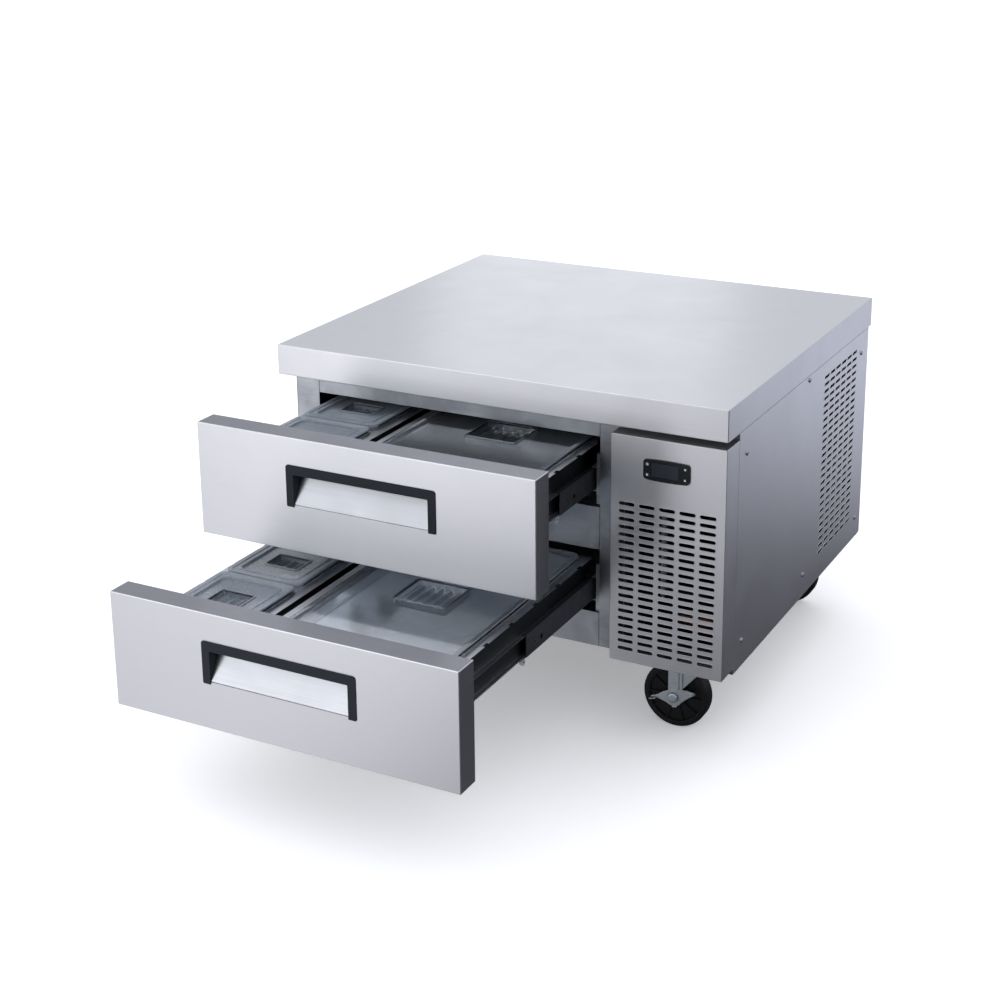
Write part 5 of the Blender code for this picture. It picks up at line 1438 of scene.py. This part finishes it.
@dataclass
class Slides:
    """Telescopic slides: packed members, and the nylon roller at each middle member's front."""

    drawer: str
    fold_round: float = 0.0004
    sheet: float = 0.0012
    roller_radius: float = 0.0065
    roller_width: float = 0.006
    roller_gap: float = 0.0006
    pin_radius: float = 0.0012
    leg_reach: float = 0.0025

    def build(self) -> None:
        """Dress the members and fit the rollers."""
        for side in ("left", "right"):
            dress(GALVANISED, f"{self.drawer}_{side}_cabinet_slide")
            member = f"{self.drawer}_{side}_middle_slide"
            channel = Shape.node_copy(f"{member}_channel", member).soften(self.fold_round)
            channel.finish(SLIDE_STEEL, member, "slide_steel", member)
            self.roller(f"{self.drawer}_{side}_roller", member)

    def roller(self, name: str, member: str) -> None:
        """Fit a roller before a middle member, on its bracket and pin.

        Args:
            name: The roller's name.
            member: The member's node, and the body it is.
        """
        low, high = low_high(member)
        middle = (low.x + high.x) / 2
        hub = Vector((middle, low.y - self.roller_radius - self.roller_gap,
                      low.z + self.sheet - self.roller_radius))
        roller = Shape.drum(name, hub, self.roller_radius, self.roller_width, Axis.X, 24)
        roller.pick(Pick.FACE, lambda m, n: abs(n.x) > 0.99).inset(0.0015, -0.0008)
        roller.soften(self.fold_round).finish(NYLON, member, "slide_steel")
        face = middle - self.roller_width / 2
        tongue = Shape.block(f"{name}_bracket", (face - self.sheet, hub.y - self.leg_reach, low.z),
                             (middle + 0.003, low.y + 0.004, low.z + self.sheet))
        leg = Shape.block("bracket_leg", (face - self.sheet, hub.y - self.leg_reach, hub.z - self.leg_reach),
                          (face - self.sheet / 4, hub.y + self.leg_reach, low.z + self.sheet / 2))
        pin = Shape.drum("roller_pin", hub, self.pin_radius, self.roller_width + 2 * self.sheet, Axis.X, 16)
        tongue.join(leg.soften(0.0003), pin).finish(SLIDE_STEEL, member, "slide_steel")


@dataclass(frozen=True)
class Vessel:
    """A spun can with a drawn neck at each end, and the clip that holds it off the condenser."""

    name: str
    finish: Finish
    centre: Place
    axis: Axis
    radius: float
    length: float
    shoulders: tuple
    neck: float
    clip_half_width: float
    clip_start: float
    clip_low: float
    clip_high: float

    def build(self) -> None:
        """Spin the can, draw its necks and fit its clip."""
        centre = Vector(self.centre)
        can = Shape.drum(self.name, centre, self.radius, self.length, self.axis, 28)
        for sign in (-1, 1):
            out = sign * Vector((1, 0, 0) if self.axis is Axis.X else (0, 0, 1))
            can.face(*out).steps(*self.shoulders).extrude(*(out * self.neck))
        coil_front = low_high("condenser_coil")[0].y
        clip_low = centre + Vector((-self.clip_half_width, self.clip_start, self.clip_low))
        clip_high = (centre.x + self.clip_half_width, coil_front + 0.001, centre.z + self.clip_high)
        can.join(Shape.block(f"{self.name}_clip", clip_low, clip_high))
        can.finish(self.finish, "cabinet", "fin_aluminium")


@dataclass
class Refrigeration:
    """What the machine compartment and the cold compartment hold."""

    tube_radius: float = 0.005
    tube_wall: float = 0.0002
    tube_offset: float = 0.025
    tube_foot: float = 0.34
    bend: float = 0.030
    vessels: tuple = (
        Vessel("liquid_receiver", RECEIVER_ALUMINIUM, (0.3045, -0.045, 0.349), Axis.Z, radius=0.0085,
               length=0.162, shoulders=((0.002, 0.0015), (0.003, 0.001)), neck=0.012,
               clip_half_width=0.006, clip_start=0.007, clip_low=0.023, clip_high=0.0245),
        Vessel("filter_drier", COPPER, (0.363, -0.030, 0.220), Axis.X, radius=0.0115, length=0.066,
               shoulders=((0.0035, 0.004), (0.0035, 0.002)), neck=0.007, clip_half_width=0.005,
               clip_start=0.009, clip_low=-0.001, clip_high=0.001))

    def build(self) -> None:
        """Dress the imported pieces, and add the receiver and the filter drier."""
        dress(STOVE_ENAMEL, "compressor", "condenser_coil")
        dress(FIN_ALUMINIUM, "evaporator_coil")
        dress(ABS, "condenser_fan", "evaporator_fan")
        self.discharge_tube()
        for vessel in self.vessels:
            vessel.build()

    def discharge_tube(self) -> None:
        """Bend the copper tube that runs from the compressor's top to the coil's top."""
        low, high = low_high("compressor")
        coil_top = low_high("condenser_coil")[1].z
        middle = high.y - (high.x - low.x) / 2
        x = (low.x + high.x) / 2 + self.tube_offset
        radius = self.tube_radius + self.tube_wall
        ceiling = high.z - self.tube_radius + self.tube_wall
        level = ceiling - self.bend
        near = low.y + radius + self.bend
        tube = Shape.drum("discharge_tube", (x, middle, self.tube_foot), radius, 0.002, Axis.Z, 16)
        tube.face(0, 0, 1).extrude(z=level - self.tube_foot - 0.001)
        self.quarter_bend(tube, (x, middle - self.bend, level))
        tube.extrude(y=near + self.bend - middle)
        self.quarter_bend(tube, (x, near, level))
        tube.extrude(z=coil_top - level).finish(COPPER, "cabinet", "fin_aluminium")

    @staticmethod
    def quarter_bend(tube: Shape, centre: Place) -> None:
        """Carry the tube's end through a quarter turn about a centre."""
        for _ in range(6):
            tube.extrude().turn(math.pi / 12, "X", centre)


# Casters

@dataclass(frozen=True)
class ForkRib:
    """One pressed rib of a fork's leg, placed from the axle and from the crown's top."""

    offset: float
    half_width: float
    proud: float
    foot: float
    head: float


@dataclass
class Caster:
    """A swivel caster: plate with its race, pressed fork with its bolt, wheel, and maybe a brake."""

    place: str
    braked: bool
    trail: float = 0.038
    outer: float = 0.0225
    inner: float = 0.0195
    tip: float = 0.0115
    crown_reach: float = 0.031
    fork_ribs: tuple = (ForkRib(0.0, 0.0105, 0.0018, 0.012, 0.001),
                        ForkRib(0.001, 0.0058, 0.0027, 0.052, 0.012),
                        ForkRib(0.0155, 0.0024, 0.0026, 0.012, 0.001))
    bolt_radius: float = 0.0095
    bolt_height: float = 0.0062
    bolt_dome: tuple = ((0.0012, 0.0011), (0.0026, 0.0008))
    wheel_radius: float = 0.0635
    tread_round: float = 0.0055
    wheel_face: tuple = ((0.0035, 0), (0.0008, -0.0007), (0.0022, 0), (0.0008, -0.0045), (0.0275, 0),
                         (0.001, 0.0052), (0.0035, 0))
    web_depth: float = 0.0052
    web_ribs: int = 10
    web_rib_rise: float = 0.0035
    web_rib_start: float = 0.019
    web_rib_end: float = 0.0518
    lever_half: float = 0.045
    lever_sheet: float = 0.0022
    lever_tilt: float = 13.0
    # Along the lever: the distance from its middle, its lower edge and its upper edge
    lever_profile: tuple = ((-0.045, 0.0015, 0.004), (-0.031, -0.001, 0.006), (-0.018, -0.008, 0.012),
                            (-0.007, -0.0165, 0.0145), (0.007, -0.0165, 0.0145), (0.018, -0.009, 0.0135),
                            (0.031, -0.002, 0.0125), (0.045, 0.003, 0.007))

    def __post_init__(self) -> None:
        """Read the wheel's place and the way it trails, away from the pivot."""
        self.wheel_low, self.wheel_high = low_high(f"{self.place}_caster_wheel")
        self.hub = (self.wheel_low + self.wheel_high) / 2
        self.away = -1 if "left" in self.place else 1

    def build(self) -> None:
        """Build every piece of the caster."""
        dress(ZINC_PLATE, f"{self.place}_caster_plate")
        self.fork()
        self.wheel()
        if self.braked:
            self.pedal()

    def fork(self) -> None:
        """Press the fork: two ribbed legs under a crown, and a domed axle bolt."""
        node = f"{self.place}_caster_fork"
        crown = low_high(node)[1].z
        hub = self.hub
        legs = self.fork_legs(crown)
        parts = []
        for sign in (-1, 1):
            y = hub.y + sign * self.outer
            for rib in self.fork_ribs:
                ends = sorted((y, y + sign * rib.proud))
                x = hub.x + self.away * rib.offset
                raised = Shape.block("fork_rib", (x - rib.half_width, ends[0], hub.z + rib.foot),
                                     (x + rib.half_width, ends[1], crown - rib.head))
                parts.append(raised.soften(0.0008, 3, 25))
            head = Shape.drum("axle_head", (hub.x, y + sign * self.bolt_height / 2, hub.z), self.bolt_radius,
                              self.bolt_height, Axis.Y, 28)
            parts.append(head.face(0, sign, 0).steps(*self.bolt_dome).rest())
        parts.append(Shape.drum("axle_pin", hub, 0.0056, 2 * self.outer, Axis.Y, 24))
        legs.join(*parts).finish(ZINC_PLATE, node, "zinc_plate", node)

    def fork_legs(self, crown: float) -> Shape:
        """Press the fork's two legs, which widen from the axle to the crown.

        Args:
            crown: Level of the crown's top.

        Returns:
            The legs, open for the wheel.
        """
        hub, away = self.hub, self.away
        pivot_x = hub.x + away * self.trail
        legs = Shape.block(f"{self.place}_fork_pressing",
                           (min(hub.x, pivot_x) - self.tip, hub.y - self.outer, hub.z - 0.012),
                           (max(hub.x, pivot_x) + self.tip, hub.y + self.outer, crown))
        legs.slice((hub.x, hub.y, hub.z + 0.012), (0, 0, 1))
        for wanted, x in ((lambda z: z < hub.z + 0.02, hub.x + away * self.tip),
                          (lambda z: z > crown - NEAR, pivot_x + away * self.crown_reach)):
            legs.pick(Pick.CORNER, lambda p, n, wanted=wanted: away * (p.x - hub.x) > 0.02 and wanted(p.z))
            legs.scale((0, 1, 1), (x, hub.y, hub.z))
        legs.pick(Pick.EDGE, lambda m, d: abs(d.y) > 0.99 and m.z < hub.z).bevel(0.006, 4)
        gap = Shape.block("fork_gap", (hub.x - 0.1, hub.y - self.inner, 0),
                          (hub.x + 0.1, hub.y + self.inner, crown - 0.004))
        gap.pick(Pick.EDGE, lambda m, d: abs(d.x) > 0.99 and m.z > 0.05).bevel(0.003, 3)
        return legs.cut(gap.rest()).soften(0.0009, 2, 25)

    def wheel(self) -> None:
        """Mould the wheel: a crowned tread, a rim ring, a dished web with ribs and a hub."""
        node = f"{self.place}_caster_wheel"
        hub = self.hub
        half = (self.wheel_high.y - self.wheel_low.y) / 2
        wheel = Shape.drum(f"{self.place}_wheel_moulding", hub, self.wheel_radius, 2 * half, Axis.Y, 72)
        wheel.pick(Pick.EDGE, lambda m, d: abs(abs(m.y - hub.y) - half) < NEAR).bevel(self.tread_round, 5)
        for sign in (-1, 1):
            wheel.pick(Pick.FACE, lambda m, n, s=sign: n.y * s > 0.99 and (m - hub).length < half + 0.002)
            wheel.steps(*self.wheel_face)
        wheel.rest()
        ribs = []
        for sign in (-1, 1):
            web = sign * (half - self.web_depth)
            ends = sorted((web, web + sign * self.web_rib_rise))
            rib = Shape.block("web_rib", (-0.0011, ends[0], self.web_rib_start),
                              (0.0011, ends[1], self.web_rib_end))
            for count in range(self.web_ribs):
                turn = Matrix.Rotation(math.tau * (count + 0.5) / self.web_ribs, 4, "Y")
                ribs.append(rib.copy("rib").place(Matrix.Translation(hub) @ turn).outward())
            rib.discard()
        wheel.cut(Shape.drum("hub_bore", hub, 0.0062, 0.1, Axis.Y, 24)).join(*ribs)
        wheel.finish(HARD_RUBBER, node, "hard_rubber", node)

    def pedal(self) -> None:
        """Press the two-winged brake lever with its treads, its crease and its lower tab."""
        node = f"{self.place}_brake_pedal"
        half, sheet = self.lever_half, self.lever_sheet
        lower, upper = -0.0185, 0.0145
        plate = Shape.block(f"{self.place}_brake_lever", (-half, -sheet, lower), (half, 0, upper))
        for x, _, _ in self.lever_profile[1:-1]:
            plate.slice((x, 0, 0), (1, 0, 0))
        for x, z_low, z_high in self.lever_profile:
            plate.pick(Pick.CORNER, lambda p, n, x=x: abs(p.x - x) < NEAR and p.z > upper - 0.0025)
            plate.scale((1, 1, 0), (0, 0, z_high))
            plate.pick(Pick.CORNER, lambda p, n, x=x: abs(p.x - x) < NEAR and p.z < lower + 0.0005)
            plate.scale((1, 1, 0), (0, 0, z_low))
        parts = []
        for sign in (-1, 1):
            ends = sorted((sign * 0.033, sign * half))
            tread = Shape.block("lever_tread", (ends[0], -0.0125, 0.0014), (ends[1], -0.001, 0.0034))
            if sign > 0:
                tread.pick(Pick.CORNER, lambda p, n: p.x > 0.04).shift(z=0.005)
            parts.append(tread.rest())
        parts.append(Shape.block("lever_tab", (-0.0045, -0.0055, lower), (0.0045, -0.001, -0.0165)))
        for part in parts:
            part.soften(0.0005, 2, 25)
        crease = Shape.block("lever_crease", (0.0115, -sheet - PAST, -0.03), (0.0128, 0.001 - sheet, 0.03))
        plate.cut(crease).soften(0.0006, 2, 25).join(*parts)
        seat = Matrix.Translation((self.hub.x, self.hub.y - self.outer - 0.0005, self.hub.z))
        plate.place(seat @ Matrix.Rotation(-math.radians(self.lever_tilt), 4, "Y"))
        plate.cut(Shape.drum("lever_bore", self.hub, 0.0112, 0.2, Axis.Y, 28))
        plate.finish(ZINC_PLATE, node, "zinc_plate", node)


# Studio

@dataclass(frozen=True)
class Fade:
    """How a light on the floor grows along one axis, from one place to another."""

    axis: str
    start: float
    end: float
    least: float
    most: float


@dataclass
class Studio:
    """Pale floor, soft light and the photograph's camera."""

    camera_place: Place = (1.4593, -2.854, 1.6193)
    camera_turn: Place = (73.672, 0.528, 27.739)
    lens: float = 64.806
    shift: float = -0.15
    floor_size: float = 30.0
    from_right: Fade = Fade("X", 0.6, -0.45, 0.0, 0.84)
    to_front: Fade = Fade("Y", 0.3, -0.5, 0.0, 1.0)
    to_back: Fade = Fade("Y", 0.6, 2.4, 0.05, 0.95)

    def build(self) -> None:
        """Set up the studio."""
        self.floor()
        self.glow()
        self.sky()
        self.light("back_softbox", (-1.5, 3.4, 1.75), (0, 0.2, 0.6), 1.2, 3.4)
        self.light("key_softbox", (-1.85, -3.7, 1.1), (0, 0, 0.3), 2.1, 38)
        self.camera()
        bpy.context.scene.view_settings.view_transform = "Standard"

    def sheet(self, name: str, level: float) -> bpy.types.Object:
        """Lay a level sheet of the floor's size.

        Args:
            name: Its name.
            level: Its height.

        Returns:
            The sheet.
        """
        Shape.start()
        bpy.ops.mesh.primitive_plane_add(size=self.floor_size, location=(0, 0, level))
        sheet = bpy.context.object
        sheet.name = name
        return sheet

    def floor(self) -> None:
        """Lay a pale floor of studio paper."""
        floor = self.sheet("studio_floor", 0)
        floor.data.materials.append(STUDIO_PAPER.material())

    def glow(self) -> None:
        """Lay the low light that the metal mirrors: bright before the fronts, dim beside the machine."""
        card = self.sheet("floor_glow", 0.0005)
        card.visible_camera = card.visible_diffuse = card.visible_shadow = card.visible_transmission = False
        made = bpy.data.materials.new("floor_glow")
        made.use_nodes = True
        tree = made.node_tree
        tree.nodes.clear()
        place = add_node(tree, "ShaderNodeTexCoord").outputs["Object"]
        split = add_node(tree, "ShaderNodeSeparateXYZ", {0: place})
        left, front, back = [
            add_node(tree, "ShaderNodeMapRange", {"Value": split.outputs[fade.axis], "From Min": fade.start,
                                                  "From Max": fade.end, "To Min": fade.least,
                                                  "To Max": fade.most},
                     interpolation_type="SMOOTHSTEP").outputs[0]
            for fade in (self.from_right, self.to_front, self.to_back)]
        before = add_node(tree, "ShaderNodeMath", {0: left, 1: front}, operation="MULTIPLY").outputs[0]
        warm = add_node(tree, "ShaderNodeEmission", {"Color": linear("F7F7FB"), "Strength": before})
        cool = add_node(tree, "ShaderNodeEmission", {"Color": linear("E9ECFC"), "Strength": back})
        both = add_node(tree, "ShaderNodeAddShader", {0: warm.outputs[0], 1: cool.outputs[0]})
        add_node(tree, "ShaderNodeOutputMaterial", {"Surface": both.outputs[0]})
        card.data.materials.append(made)

    def sky(self) -> None:
        """Light the room from all round, more from above than from its walls."""
        world = bpy.data.worlds.new("studio_room")
        world.use_nodes = True
        tree = world.node_tree
        aim = add_node(tree, "ShaderNodeTexCoord").outputs["Generated"]
        rise = add_node(tree, "ShaderNodeSeparateXYZ", {0: aim}).outputs["Z"]
        level = add_node(tree, "ShaderNodeMapRange", {"Value": rise, "From Min": 0.0, "From Max": 0.8,
                                                      "To Min": 0.52, "To Max": 1.35})
        back = tree.nodes["Background"]
        back.inputs["Color"].default_value = linear("F4F6FB")
        tree.links.new(level.outputs[0], back.inputs["Strength"])
        bpy.context.scene.world = world

    def light(self, name: str, place: Place, aim: Place, size: float, power: float) -> None:
        """Hang one square softbox.

        Args:
            name: Its name.
            place: Where it hangs.
            aim: The point it looks at.
            size: Its side.
            power: Its power in watts.
        """
        lamp = bpy.data.lights.new(name, "AREA")
        lamp.shape = "SQUARE"
        lamp.size = size
        lamp.energy = power
        holder = bpy.data.objects.new(name, lamp)
        holder.location = place
        holder.rotation_euler = (Vector(aim) - Vector(place)).to_track_quat("-Z", "Y").to_euler()
        bpy.context.scene.collection.objects.link(holder)

    def camera(self) -> None:
        """Set the camera at the photograph's place."""
        lens = bpy.data.cameras.new("photo_camera")
        lens.lens = self.lens
        lens.shift_y = self.shift
        holder = bpy.data.objects.new("photo_camera", lens)
        holder.location = self.camera_place
        holder.rotation_euler = [math.radians(angle) for angle in self.camera_turn]
        bpy.context.scene.collection.objects.link(holder)
        bpy.context.scene.camera = holder


def main() -> None:
    """Build the dressed model, assembly by assembly."""
    logging.basicConfig(level=logging.INFO, format="%(message)s")
    Studio().build()
    Worktop().build()
    Casing().build()
    MachineCover().build()
    for opening in (UPPER, LOWER):
        PullDrawer(opening).build()
        Slides(opening.drawer).build()
    Refrigeration().build()
    for row in ("front", "rear"):
        for side in ("left", "right"):
            Caster(f"{row}_{side}", row == "front").build()


if __name__ == "__main__":
    main()
